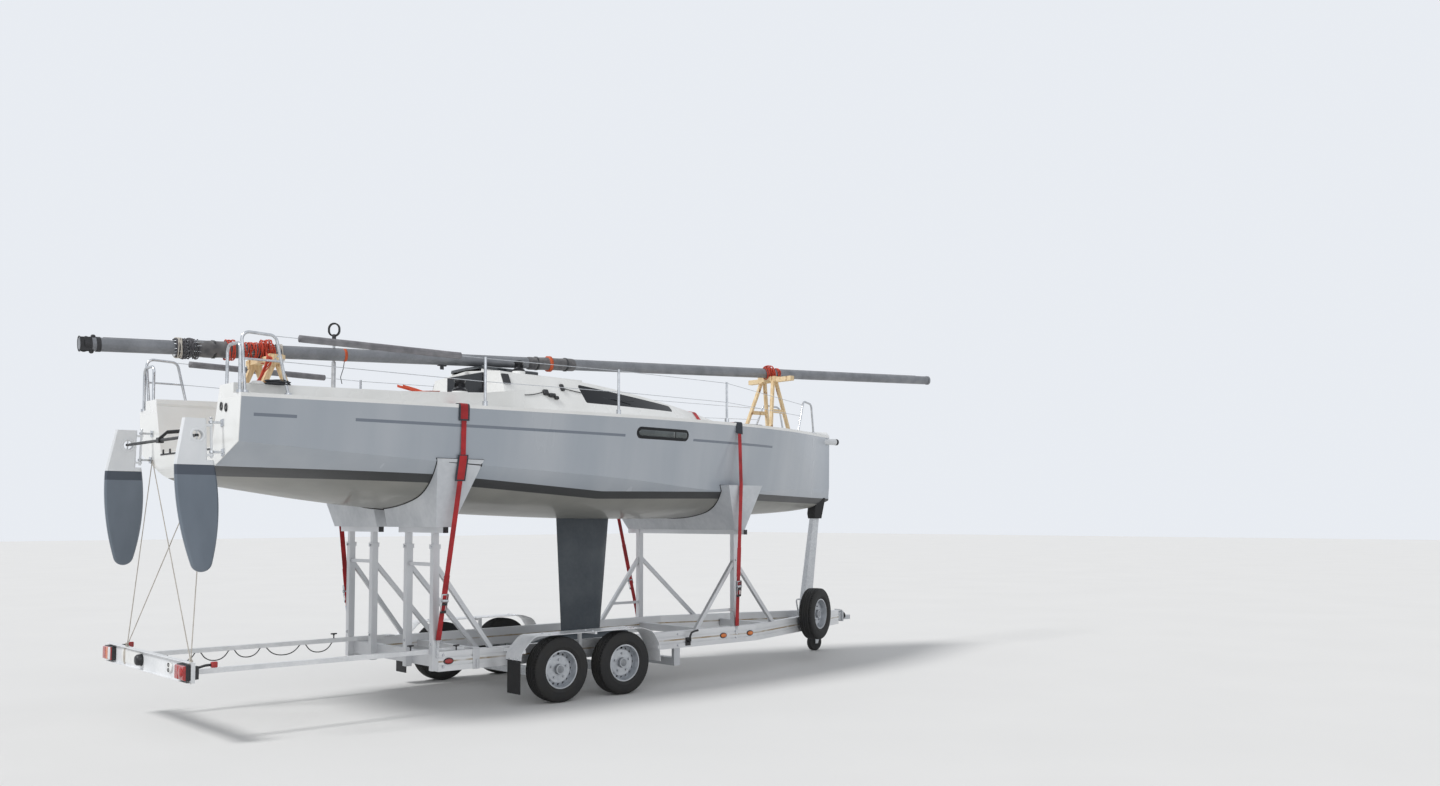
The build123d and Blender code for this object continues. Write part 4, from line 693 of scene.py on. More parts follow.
side_places = (
    # name, x, z, wide, high, proud
    ("instrument", -0.695, 3.038, 0.085, 0.110, 0.014),
    ("organiser_aft", -0.267, 2.931, 0.060, 0.060, 0.030),
    ("organiser_mid", -0.200, 2.905, 0.080, 0.038, 0.034),
    ("organiser_fore", -0.150, 2.885, 0.050, 0.034, 0.026),
    ("clutch", -0.038, 3.001, 0.046, 0.075, 0.020),
)
for side_name, side in (("starboard", -1), ("port", 1)):
    fittings = []
    for name, along, high, wide, tall, proud in side_places:
        met, way = surface("deck", (along, side * 1.5, high), (0, -side, 0))
        if met:
            form = block((-tall / 2, -wide / 2, -0.004), (tall / 2, wide / 2, proud), min(0.012, proud * 0.4), black_fitting, 3)
            turn = Vector((0, 0, 1)) - way * way.z
            frame_way = Matrix((turn.normalized(), way.cross(turn).normalized(), way)).transposed().to_4x4()
            fittings.append(placed(form, Matrix.Translation(met) @ frame_way))
    fit(f"roof_fittings_{side_name}", joined(fittings, black_fitting), boat)
for number, (start, end, sag) in enumerate((((-0.30, -0.700, 2.935), (-0.72, -0.60, 2.91), 0.03), ((-0.05, -0.64, 3.00), (0.90, -0.60, 2.93), 0.02))):
    thread = []
    for k in range(13):
        share = k / 12
        spot = Vector(start).lerp(Vector(end), share) - Vector((0, 0, sag * 4 * share * (1 - share)))
        met, way = surface("deck", (spot.x, -1.5, spot.z), (0, 1, 0))
        thread.append(met + way * 0.0045 if met else spot)
    fit(f"roof_line_{number}", tube(thread, 0.004, black_rope, 6), boat, True)

# Mast: one oval spar, anodised and a little chalky, with a sail groove along its upper side. It
# lies root forward, and its aft end carries the black masthead casting and its sheaves.
spar = weathered("spar", (136, 138, 142), (118, 120, 124), 7.0, (0.3, 0.44), 0.0001, {"Metallic": 0.45})
dress(spar, "mast")
mast_aft = Vector((-4.239, 0, 3.100))
mast_fore = Vector((6.718, 0, 3.651))
mast_way = (mast_fore - mast_aft).normalized()
mast_half_wide = 0.044
mast_half_high = 0.057
mast_up = mast_way.cross(Vector((0, 1, 0)))
to_mast = Matrix.Translation(mast_aft) @ Matrix((mast_up, Vector((0, -1, 0)), mast_way)).transposed().to_4x4()


def along_mast(x):
    """How far along the mast from its aft end an x lies."""
    return (x - mast_aft.x) / mast_way.x


def oval_band(x0, x1, proud, finish, sides=36, bulge=0.0, steps=2):
    """A band round the mast between two x, closed down to the spar."""
    shape = bmesh.new()
    start, end = along_mast(x0), along_mast(x1)
    rings = []
    profile = [(start, -0.001)] + [
        (start + (end - start) * k / steps, proud + bulge * sin(pi * k / steps)) for k in range(steps + 1)
    ] + [(end, -0.001)]
    for reach, rise in profile:
        rings.append([
            shape.verts.new((
                (mast_half_high + rise) * cos(2 * pi * k / sides), (mast_half_wide + rise) * sin(2 * pi * k / sides), reach
            )) for k in range(sides)
        ])
    for near, far in zip(rings, rings[1:] + rings[:1]):
        for k in range(sides):
            shape.faces.new((near[k], near[(k + 1) % sides], far[(k + 1) % sides], far[k]))
    return placed(solid(shape, finish), to_mast)


masthead = [
    oval_band(-4.118, -4.085, 0.0040, black_fitting), oval_band(-4.165, -4.150, 0.0028, black_fitting),
    oval_band(-4.2395, -4.2330, 0.0065, black_fitting), oval_band(-4.205, -4.150, 0.0012, black_fitting),
]
crane_line = ((0, 0.020), (0.010, 0.019), (0.017, 0.012), (0.019, 0.0), (0.015, -0.010), (0, -0.012))
for high, across, reach in ((0.058, 0.0, 0.105), (0.046, -0.026, 0.060), (-0.056, 0.012, 0.085), (0.020, -0.044, 0.100)):
    way = Vector((high, across, 0)).normalized()
    masthead.append(placed(turned(crane_line, 20, black_fitting), to_mast @ facing((high, across, reach), way)))
for across in (-0.036, 0.030):
    masthead.append(placed(block((-0.054, across, 0.004), (0.054, across + 0.006, 0.086), 0.002, black_fitting), to_mast))
sheave_line = ((0, -0.008), (0.040, -0.008), (0.034, 0.0), (0.040, 0.008), (0, 0.008))
for high, reach in ((0.018, 0.052), (-0.022, 0.040)):
    for across in (-0.018, 0.014):
        masthead.append(placed(turned(sheave_line, 28, black_fitting), to_mast @ facing((high, across, reach), (0, 1, 0))))
fit("masthead_casting", joined(masthead, black_fitting), boat)
orange_tape = weathered("orange_tape", (208, 92, 40), (180, 70, 30), 60.0, (0.45, 0.6), 0.0003)
fit("mast_tape", joined([oval_band(-2.030, -2.004, 0.0022, orange_tape), oval_band(0.225, 0.262, 0.0258, orange_tape)], orange_tape), boat, True)
tape_tail = [to_mast @ Vector((-mast_half_high * cos(a), mast_half_wide * sin(a) - 0.004, along_mast(-2.017))) for a in (-0.9, -0.5, 0.0)]
tape_tail += [tape_tail[-1] + Vector((-0.01, 0.0, -0.07)), tape_tail[-1] + Vector((-0.035, 0.0, -0.15)), tape_tail[-1] + Vector((-0.02, 0.0, -0.21))]
fit("mast_tape_tail", tube(tape_tail, 0.0035, black_rope, 6), boat, True)
under = to_mast @ Vector((-mast_half_high + 0.002, 0, along_mast(-1.013)))
vang_bracket = [
    block((under.x - 0.045, -0.014, under.z - 0.012), (under.x + 0.045, 0.014, under.z + 0.004), 0.002, black_fitting),
    block((under.x - 0.020, -0.004, under.z - 0.045), (under.x + 0.020, 0.004, under.z), 0.002, black_fitting),
]
fit("mast_bracket", joined(vang_bracket, black_fitting), boat)
groove = [to_mast @ Vector((mast_half_high + 0.0006, 0, along_mast(-4.06 + 0.5 * k))) for k in range(22)]
fit("mast_sail_groove", tube(groove, 0.0028, black_fitting, 6), boat, True)

# Bowsprit: a moulded pole in pale gelcoat with a black end cap. It slides aft through its collar.
sprit = weathered("sprit_gelcoat", (214, 216, 218), (200, 203, 206), 8.0, (0.22, 0.34), 0, {"Coat Weight": 0.3})
dress(sprit, "bowsprit")
sprit_low, sprit_top = (Vector(corner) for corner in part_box("bowsprit"))
sprit_mid = (sprit_low + sprit_top) / 2
sprit_cap = ((0, -0.001), (0.030, -0.001), (0.0405, -0.006), (0.0405, -0.042), (0, -0.042))
cap_at = facing((sprit_top.x + 0.001, sprit_mid.y, sprit_mid.z), (1, 0, 0))
fit("bowsprit_end_cap", placed(turned(sprit_cap, 36, black_fitting), cap_at), "bowsprit", True)

# Wrapped rigging: the stays and spreaders' ropes are bundled against the mast's aft part in a grey
# cloth wrap, and a padded roll protects the spar over the roof. Each is tied round with cord.
wrap_cloth = Finish("wrap_cloth", {"Sheen Weight": 0.25, "Sheen Roughness": 0.6})
threads = wrap_cloth.node("ShaderNodeTexWave", {"bands_direction": "Z"}, {"Vector": wrap_cloth.place(), "Scale": 260.0, "Distortion": 0.6}, "Fac")
cross_threads = wrap_cloth.node("ShaderNodeTexWave", {"bands_direction": "X"}, {"Vector": wrap_cloth.place(), "Scale": 260.0, "Distortion": 0.6}, "Fac")
faded = wrap_cloth.steep(wrap_cloth.cloud(9.0, 4.0), 0.36, 0.66)
wrap_cloth.set("Base Color", wrap_cloth.mix(faded, colour(104, 102, 102), colour(62, 62, 66)))
wrap_cloth.set("Roughness", 0.78 + faded * 0.12)
wrap_cloth.relief(threads * 0.5 + cross_threads * 0.5, 0.0006, 0.5)
swell_frames = 16
swell_pressure = 4.0
swell_cap = 0.009
swell_voxel = 0.006


def wrapped(name, stations, replaced):
    """A cloth wrap round the mast through stations of x, half width and half height, blown up by cloth."""
    sides = 40
    shape = bmesh.new()
    rings = []
    draw = Random(len(name))
    waves = [(draw.uniform(9, 26), draw.uniform(0, 6.3), draw.uniform(1, 4)) for _ in range(5)]
    line = []
    for (x0, w0, h0), (x1, w1, h1) in zip(stations, stations[1:]):
        steps = max(2, int((x1 - x0) / 0.012))
        line += [(x0 + (x1 - x0) * k / steps, w0 + (w1 - w0) * k / steps, h0 + (h1 - h0) * k / steps) for k in range(steps)]
    line.append(stations[-1])
    for x, wide, high in line:
        ring = []
        for k in range(sides):
            angle = 2 * pi * k / sides
            crease = sum(sin(pitch * x + turn * angle + phase) for pitch, phase, turn in waves) * 0.0011
            ring.append(shape.verts.new((
                (high + crease) * cos(angle), (wide + crease) * sin(angle), along_mast(x)
            )))
        rings.append(ring)
    for near, far in zip(rings, rings[1:]):
        for k in range(sides):
            shape.faces.new((near[k], near[(k + 1) % sides], far[(k + 1) % sides], far[k]))
    shape.faces.new(rings[0])
    shape.faces.new(rings[-1])
    mesh = placed(solid(shape, wrap_cloth), to_mast)
    piece = fit(name, mesh, boat, True)
    if swell_frames:
        bpy.context.view_layer.objects.active = piece
        remesh = piece.modifiers.new("remesh", "REMESH")
        remesh.mode = "VOXEL"
        remesh.voxel_size = swell_voxel
        bpy.ops.object.modifier_apply(modifier="remesh")
        start = [v.co.copy() for v in piece.data.vertices]
        pinned = piece.vertex_groups.new(name="tied")
        ties = [x for x, _, _ in stations if x in (stations[0][0], stations[-1][0])]
        tied = [i for i, co in enumerate(start) if any(abs(co.x - x) < 0.008 for x in ties)]
        pinned.add(tied, 1.0, "REPLACE")
        cloth = piece.modifiers.new("cloth", "CLOTH")
        cloth.settings.quality = 5
        cloth.settings.use_pressure = True
        cloth.settings.uniform_pressure_force = swell_pressure
        cloth.settings.effector_weights.gravity = 0
        cloth.settings.vertex_group_mass = "tied"
        cloth.collision_settings.use_self_collision = False
        for number in range(1, swell_frames + 1):
            bpy.context.scene.frame_set(number)
        built = piece.evaluated_get(bpy.context.evaluated_depsgraph_get())
        moved = [v.co.copy() for v in built.data.vertices]
        bpy.context.scene.frame_set(1)
        piece.modifiers.clear()
        for vertex, before, after in zip(piece.data.vertices, start, moved):
            step = after - before
            vertex.co = before + (step * (swell_cap / step.length) if step.length > swell_cap else step)
        piece.vertex_groups.clear()
        piece.data.materials.clear()
        piece.data.materials.append(wrap_cloth.material)
        piece.data.shade_smooth()
    if replaced:
        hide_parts(replaced)
    return piece


wrapped("rig_bundle_wrap", (
    (-3.345, 0.050, 0.063), (-3.320, 0.064, 0.070), (-3.230, 0.069, 0.074), (-3.150, 0.063, 0.070),
    (-3.060, 0.070, 0.074), (-2.990, 0.062, 0.068), (-2.975, 0.048, 0.061),
), "rig_bundle")
wrapped("mast_roll_wrap", (
    (-0.026, 0.050, 0.062), (0.000, 0.058, 0.066), (0.070, 0.060, 0.067), (0.083, 0.054, 0.062), (0.096, 0.060, 0.067),
    (0.235, 0.062, 0.068), (0.246, 0.056, 0.063), (0.260, 0.062, 0.068), (0.437, 0.061, 0.067), (0.450, 0.055, 0.062),
    (0.463, 0.060, 0.066), (0.548, 0.058, 0.065), (0.566, 0.050, 0.061),
), "mast_roll")


def turns_round(x0, x1, turns, wide, high, radius, finish, seed, slack=0.0):
    """A rope wound round the mast from one x to another, its turns a little uneven."""
    draw = Random(seed)
    steps = 20
    points = []
    wander = 0.0
    for k in range(int(turns * steps) + 1):
        share = k / (turns * steps)
        if k % 5 == 0:
            wander = draw.uniform(-1, 1)
        angle = 2 * pi * k / steps + seed
        loose = radius + slack * (0.5 + 0.5 * sin(2.3 * angle / 2 + seed))
        points.append(to_mast @ Vector((
            (high + loose) * cos(angle), (wide + loose) * sin(angle),
            along_mast(x0 + (x1 - x0) * share + 0.006 * wander + 0.008 * sin(1.7 * angle + seed)),
        )))
    return tube(points, radius, finish, 6)


def laid_rope(name, light, dark):
    finish = Finish(name)
    strands = finish.node("ShaderNodeTexWave", {"bands_direction": "DIAGONAL"}, {"Vector": finish.place(), "Scale": 120.0, "Distortion": 2.0}, "Fac")
    aged = finish.steep(finish.cloud(18.0, 3.0), 0.4, 0.65)
    finish.set("Base Color", finish.mix(strands * 0.5 + aged * 0.4, colour(*light), colour(*dark)))
    finish.set("Roughness", 0.7 + strands * 0.15)
    finish.relief(strands, 0.0008, 0.6)
    return finish


red_rope = laid_rope("red_rope", (208, 80, 54), (160, 42, 32))
pale_rope = laid_rope("pale_rope", (206, 200, 190), (160, 152, 142))
grey_rope = laid_rope("grey_rope", (96, 94, 98), (44, 44, 48))
aft_coils = []
for number in range(9):
    x0 = -3.525 + 0.018 * number
    aft_coils.append(turns_round(x0, x0 + 0.06, 2.0, 0.050 + 0.003 * (number % 4), 0.062 + 0.003 * (number % 5), 0.0055, grey_rope, 11 + number, 0.012))
fit("rig_bundle_ropes", joined(aft_coils, grey_rope), boat, True)
stay_lines = []
for number in range(10):
    draw = Random(100 + number)
    angle = 2 * pi * number / 10 + 0.3
    points = []
    for k in range(15):
        x = -3.53 + 0.92 * k / 14
        reach = 0.006 + 0.012 * sin(pi * min(1.0, k / 5)) + draw.uniform(-0.003, 0.003)
        turn = angle + 0.25 * sin(k * 0.8 + number)
        points.append(to_mast @ Vector(((mast_half_high + reach) * cos(turn), (mast_half_wide + reach) * sin(turn), along_mast(x))))
    stay_lines.append(tube(points, 0.0032, steel, 6))
fit("rig_bundle_stays", joined(stay_lines, steel), boat, True)
ties = [turns_round(-3.505, -3.470, 4, 0.070, 0.080, 0.0045, pale_rope, 3), turns_round(-2.660, -2.600, 5, 0.052, 0.064, 0.0045, pale_rope, 5, 0.004)]
fit("rig_bundle_pale_ties", joined(ties, pale_rope), boat, True)
red_ties = [
    turns_round(-3.095, -3.030, 6, 0.074, 0.080, 0.005, red_rope, 7, 0.004),
    turns_round(-2.960, -2.880, 6, 0.052, 0.063, 0.005, red_rope, 8, 0.006),
    turns_round(-2.880, -2.800, 6, 0.052, 0.064, 0.005, red_rope, 9, 0.006),
]
fit("rig_bundle_red_ties", joined(red_ties, red_rope), boat, True)
bands = [oval_band(x - 0.011, x + 0.011, rise, black_fitting) for x, rise in ((0.083, 0.0150), (0.450, 0.0155), (-3.200, 0.0215))]
fit("wrap_bands", joined(bands, black_fitting), boat, True)

# Trestles: sawn softwood legs, screwed together on deck to carry the mast, which is lashed down
# to them with red rope. The aft lashing's spare length hangs in a bunch beside the aft leg.
wood = Finish("sawn_pine")
grain = wood.node("ShaderNodeTexWave", {"bands_direction": "X"}, {"Vector": wood.place(), "Scale": 9.0, "Distortion": 7.0, "Detail": 3.0}, "Fac")
knots = wood.steep(wood.cloud(14.0, 2.0), 0.62, 0.74)
pale = wood.mix(grain * 0.6, colour(230, 206, 166), colour(208, 177, 132))
wood.set("Base Color", wood.mix(knots, pale, colour(150, 108, 66)))
wood.set("Roughness", 0.62 + grain * 0.15)
wood.relief(grain, 0.0006, 0.5)
dress(wood, "aft_trestle", "fore_trestle")
trestle_x = -2.750
fore_trestle_x = 3.520
crossbar = block((fore_trestle_x - 0.0322, -0.400, 3.372), (fore_trestle_x + 0.0322, 0.330, 3.4285), 0.003, wood)
fit("fore_trestle_crossbar", crossbar, boat)
lashings = [
    turns_round(trestle_x - 0.060, trestle_x + 0.060, 9, 0.050, 0.068, 0.0055, red_rope, 21, 0.006),
    turns_round(trestle_x + 0.055, trestle_x - 0.050, 7, 0.058, 0.090, 0.0055, red_rope, 22, 0.010),
]
head_z = 3.100 + (trestle_x + 4.239) * (3.651 - 3.100) / (6.718 + 4.239)
hank_draw = Random(8)
for number in range(7):
    start = Vector((trestle_x - 0.055 - 0.004 * number, -0.235, head_z - 0.085))
    points = [Vector((trestle_x - 0.02, -0.060, head_z - 0.010 - 0.006 * number)), Vector((trestle_x - 0.045, -0.150, head_z - 0.040))]
    leg_way = Vector((-0.335 + 0.012, 0, -(head_z - 0.1 - 2.297))).normalized()
    long = 0.25 + 0.05 * (number % 4)
    for k in range(9):
        share = k / 8
        swing = Vector((0.016 * sin(6.3 * share + number), -0.034 - 0.010 * sin(5 * share + 2 * number), 0))
        points.append(start + leg_way * long * share + swing)
    lashings.append(tube(points, 0.0055, red_rope, 6))
fit("aft_trestle_lashing", joined(lashings, red_rope), boat, True)
fore_lashing = [
    turns_round(fore_trestle_x - 0.070, fore_trestle_x + 0.060, 8, 0.047, 0.060, 0.0055, red_rope, 31, 0.006),
    turns_round(fore_trestle_x + 0.050, fore_trestle_x - 0.050, 5, 0.060, 0.085, 0.0055, red_rope, 32, 0.008),
    turns_round(fore_trestle_x + 0.110, fore_trestle_x + 0.160, 4, 0.046, 0.059, 0.0055, red_rope, 33, 0.003),
]
fit("fore_trestle_lashing", joined(fore_lashing, red_rope), boat, True)
wood_screw = screw_unit(0.0, 0.014, 0.003, 16)
for name, x, y, levels in (("aft", trestle_x, 0.225 + 0.0225, (-0.075, -0.100)), ("fore", fore_trestle_x, 0.115, (-0.08,))):
    screws = []
    for side in (-1, 1):
        for way in (-1, 1):
            for level in levels:
                start = Vector((x + way * (0.016 + 0.02 * (level < -0.09)), side * (y + 0.3), 3.100 + (x + 4.239) * 0.05029 + level))
                met, normal = surface(f"{name}_trestle", start, (0, -side, 0))
                if met and abs(met.y) > y - 0.05:
                    screws.append(placed(wood_screw, facing(met, normal)))
    if screws:
        fit(f"{name}_trestle_screws", joined(screws, steel), boat)

# Loop pole: a pale alloy tube on a round foot, with a black plastic loop bonded into its top.
pole_finish = Finish("pole_alloy", {"Metallic": 0.3})
x, y, z = pole_finish.axes()
worn_pole = pole_finish.steep(pole_finish.cloud(30.0, 3.0), 0.4, 0.65)
alloy = pole_finish.mix(worn_pole, colour(200, 202, 205), colour(178, 181, 185))
pole_finish.set("Base Color", pole_finish.mix(z > 3.372, alloy, colour(26, 26, 28)))
pole_finish.set("Roughness", 0.3 + worn_pole * 0.15)
dress(pole_finish, "loop_pole")
collar = ((0, 0.030), (0.0142, 0.029), (0.0185, 0.020), (0.0185, -0.016), (0.0150, -0.024), (0, -0.024))
fit("loop_pole_collar", placed(turned(collar, 24, black_fitting), Matrix.Translation((-2.080, 0.085, 3.378))), boat, True)

# Trailer frame: extruded aluminium side beams with a groove along each face, bolted and welded to
# cross members. Posts and braces are box section in the same metal, with black caps in open ends.
bare_metal = Finish("mill_aluminium", {"Metallic": 0.5})
brushed = bare_metal.cloud(5.0, 6.0, (0.5, 4.0, 9.0))
patches = bare_metal.steep(bare_metal.cloud(1.2, 4.0), 0.38, 0.7)
bare_metal.set("Base Color", bare_metal.mix(patches, colour(212, 213, 215), colour(190, 192, 195)))
bare_metal.set("Roughness", 0.34 + brushed * 0.2)
bare_metal.relief(brushed, 0.0002, 0.3)
dress(bare_metal, "rear_posts", "front_posts", "cross_members")
beam_metal = Finish("beam_aluminium", {"Metallic": 0.5})
x, y, z = beam_metal.axes()
brushed = beam_metal.cloud(5.0, 6.0, (0.5, 4.0, 9.0))
patches = beam_metal.steep(beam_metal.cloud(1.2, 4.0), 0.38, 0.7)
beam_skin = beam_metal.mix(patches, colour(228, 229, 230), colour(208, 209, 211))
beam_mid_z = 0.4425
road_dust = beam_metal.steep(beam_metal.cloud(6.0, 4.0), 0.3, 0.6)
in_groove = z.between(beam_mid_z - 0.0075, beam_mid_z + 0.0075)
beam_metal.set("Base Color", beam_metal.mix(in_groove * road_dust, beam_skin, colour(158, 140, 112)))
beam_metal.set("Roughness", 0.34 + brushed * 0.2)
beam_metal.relief(brushed, 0.0002, 0.3)
dress(beam_metal, "beam_port", "beam_starboard")
zinc = Finish("galvanised", {"Metallic": 0.6})
flakes = zinc.node("ShaderNodeTexVoronoi", None, {"Vector": zinc.place(), "Scale": 70.0}, "Color")
flake = Reading(zinc, zinc.node("ShaderNodeSeparateXYZ", None, {0: flakes}).socket.node.outputs[0])
dull = zinc.steep(zinc.cloud(2.4, 5.0), 0.4, 0.7)
zinc.set("Base Color", zinc.mix(flake * 0.5 + dull * 0.4, colour(206, 208, 210), colour(176, 179, 183)))
zinc.set("Roughness", 0.36 + flake * 0.14)
dress(zinc, "keel_tray", "axles", "spare_carrier", "coupling", "bow_post", "jockey_tube", "jockey_leg", "jockey_fork")
rear_post_x = -1.525
rear_bar_z = 1.608
front_bar = (2.140, 1.555)
bar_half = 0.025
end_caps = []
for along, high, ends in ((rear_post_x, rear_bar_z, (1.0, 0.2)), (*front_bar, (1.0,))):
    for side in (-1, 1):
        for end in ends:
            out = side if end > 0.5 else -side
            low = (along - bar_half - 0.001, min(side * end, side * end + out * 0.005), high - bar_half - 0.001)
            top = (along + bar_half + 0.001, max(side * end, side * end + out * 0.005), high + bar_half + 0.001)
            end_caps.append(block(low, top, 0.002, black_fitting))
fit("post_tube_caps", joined(end_caps, black_fitting), boat)
frame_bolt = screw_unit(0.0, 0.022, 0.011, 6)
bolts = []
bolt_rows = (
    ("beam", -1.525, (0.390, 0.425, 0.468, 0.505)), ("beam", -1.450, (0.395, 0.500)), ("beam", -0.78, (0.410, 0.475)),
    ("beam", 1.300, (0.385, 0.500)), ("beam", 2.140, (0.405, 0.480)), ("beam", 0.0, (0.405, 0.480)),
)
for _, along, levels in bolt_rows:
    for high in levels:
        for name, side in (("port", 1), ("starboard", -1)):
            met, way = surface(f"beam_{name}", (along, side * 1.2, high), (0, -side, 0))
            if met and abs(met.y) > 0.8:
                bolts.append(placed(frame_bolt, facing(met - way * 0.0005, way)))
for high in (1.455, 0.60):
    for across in (0.820, 0.340):
        for side in (-1, 1):
            met, way = surface("rear_posts", (-2.0, side * across, high), (1, 0, 0))
            bolts.append(placed(frame_bolt, facing(met, way)))
for side in (-1, 1):
    for along, high in ((2.140, 1.25), (2.140, 0.62)):
        met, way = surface("front_posts", (along, side * 1.3, high), (0, -side, 0))
        bolts.append(placed(frame_bolt, facing(met, way)))
fit("frame_bolts", joined(bolts, steel), boat)
knob_line = ((0, 0.046), (0.006, 0.046), (0.010, 0.043), (0.010, 0.030), (0.006, 0.027), (0.006, 0.0), (0, 0.0))
knobs = []
for along, across in ((-1.300, -0.820), (-1.300, 0.820), (-1.720, -0.760), (-1.720, 0.760)):
    high = 0.530 if along > -1.5 else 0.550
    knobs.append(placed(turned(knob_line, 16, black_fitting), Matrix.Translation((along, across, high))))
    knobs.append(block((along - 0.032, across - 0.008, high + 0.036), (along + 0.032, across + 0.008, high + 0.050), 0.006, black_fitting))
fit("frame_clamp_knobs", joined(knobs, black_fitting), boat, False)
brackets = []
for side in (-1, 1):
    y0, y1 = sorted((side * 0.8525, side * 0.8585))
    brackets.append(block((-1.150, y0, 0.350), (-1.080, y1, 0.535), 0.002, bare_metal))
    y0, y1 = sorted((side * 0.745, side * 0.8585))
    brackets.append(block((-1.150, y0, 0.530), (-1.080, y1, 0.542), 0.002, bare_metal))
    y0, y1 = sorted((side * 0.8585, side * 0.885))
    brackets.append(block((-1.120, y0, 0.362), (-1.110, y1, 0.440), 0.002, bare_metal))
fit("frame_clamp_brackets", joined(brackets, bare_metal), boat)
handle_at = Vector((1.440, -0.8525, 0.415))
handle = [
    handle_at, handle_at + Vector((0, -0.030, 0.0)), handle_at + Vector((-0.004, -0.045, 0.012)), handle_at + Vector((-0.010, -0.048, 0.060)),
    handle_at + Vector((0.010, -0.048, 0.095)), handle_at + Vector((0.055, -0.048, 0.108)), handle_at + Vector((0.100, -0.048, 0.112)),
]
crank_plate = block((1.405, -0.8600, 0.372), (1.475, -0.8515, 0.458), 0.003, black_fitting)
fit("beam_crank_handle", joined([tube(handle, 0.011, black_fitting, 12), crank_plate], black_fitting), boat, False)
marker_lens = weathered("marker_red", (176, 30, 26), (140, 18, 16), 40.0, (0.12, 0.2), 0.0003, {"Coat Weight": 0.6})
amber_lens = weathered("marker_amber", (220, 120, 30), (200, 96, 20), 40.0, (0.12, 0.2), 0.0003, {"Coat Weight": 0.6})


def oval_plate(half_long, half_high, thick, finish, dome=0.0):
    """An oval lens or plate standing on its own plane, a little domed."""
    shape = bmesh.new()
    bmesh.ops.create_cone(shape, cap_ends=True, segments=36, radius1=1.0, radius2=0.92, depth=thick, matrix=Matrix.Translation((0, 0, thick / 2)))
    bmesh.ops.scale(shape, vec=(half_high, half_long, 1), verts=shape.verts)
    if dome:
        bmesh.ops.create_uvsphere(shape, u_segments=28, v_segments=12, radius=1.0, matrix=Matrix.Translation((0, 0, thick)) @ Matrix.Diagonal((half_high * 0.88, half_long * 0.88, dome, 1)))
    return solid(shape, finish)


for tone, finish, spots in (("red", marker_lens, ((-1.395, 0.0),)), ("amber", amber_lens, ((1.95, 0.0), (2.35, 0.0)))):
    lenses, seats = [], []
    for along, _ in spots:
        for name, side in (("port", 1), ("starboard", -1)):
            met, way = surface(f"beam_{name}", (along, side * 1.3, 0.4625), (0, -side, 0))
            if met:
                at = facing(Vector((met.x, met.y, beam_mid_z)), way)
                seats.append(placed(oval_plate(0.052, 0.030, 0.006, black_fitting), at))
                lenses.append(placed(oval_plate(0.043, 0.022, 0.010, finish, 0.005), at))
    fit(f"side_marker_lenses_{tone}", joined(lenses, finish), boat, True)
    fit(f"side_marker_seats_{tone}", joined(seats, black_fitting), boat)

# Pads: white laminate blocks shaped to the hull, with a black rubber edge where they bear on it.
pad = weathered("pad_laminate", (206, 209, 213), (186, 190, 195), 2.5, (0.38, 0.55), 0.0004)
dress(pad, "hull_pads")
rubber = weathered("black_rubber", (28, 28, 29), (42, 42, 43), 14.0, (0.7, 0.88), 0.0006)
dress(rubber, "bow_snubber", "mudflaps", "jockey_wheel")
hull_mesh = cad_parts["hull"].data
hull_tree = BVHTree.FromPolygons([v.co for v in hull_mesh.vertices], [tuple(p.vertices) for p in hull_mesh.polygons])
pad_shape = bmesh.new()
pad_shape.from_mesh(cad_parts["hull_pads"].data)
bmesh.ops.remove_doubles(pad_shape, verts=pad_shape.verts, dist=0.00005)
edging = []
edge_half = 0.006
for edge in pad_shape.edges:
    if len(edge.link_faces) == 2 and edge.calc_face_angle(0) > radians(32) and edge.calc_length() > 0.004:
        near = [hull_tree.find_nearest(v.co) for v in edge.verts]
        if all(found[3] is not None and found[3] < 0.004 for found in near):
            inward = sum((face.calc_center_median() for face in edge.link_faces), Vector()) / 2 - (edge.verts[0].co + edge.verts[1].co) / 2
            inward = inward.normalized() * edge_half * 0.6
            ends = [v.co + inward for v in edge.verts]
            reach = (ends[1] - ends[0]).normalized() * 0.003
            edging.append(tube([ends[0] - reach, ends[1] + reach], edge_half, rubber, 8))
pad_shape.free()
fit("pad_rubber_edges", joined(edging, rubber), boat, True)

# Mudguards: moulded white plastic over each pair of wheels, with black rubber flaps behind.
guard = weathered("guard_white", (234, 235, 236), (216, 218, 221), 3.0, (0.24, 0.4), 0.0003, {"Coat Weight": 0.2})
dress(guard, "mudguards")
guard_trim = []
for side in (-1, 1):
    for along, across in ((-0.5, 1.0), (0.5, 1.0), (0.0, 1.0), (-0.5, 1.12), (0.5, 1.12), (0.0, 1.12)):
        guard_trim.append(placed(screw_unit(0.0, 0.018, 0.005, 6), facing((along, side * across, 0.637), (0, 0, 1))))
    for across in (0.985, 1.055, 1.125):
        guard_trim.append(placed(screw_unit(0.0, 0.016, 0.005, 6), facing((-0.850, side * across, 0.430), (-1, 0, 0))))
fit("mudguard_bolts", joined(guard_trim, steel), boat)

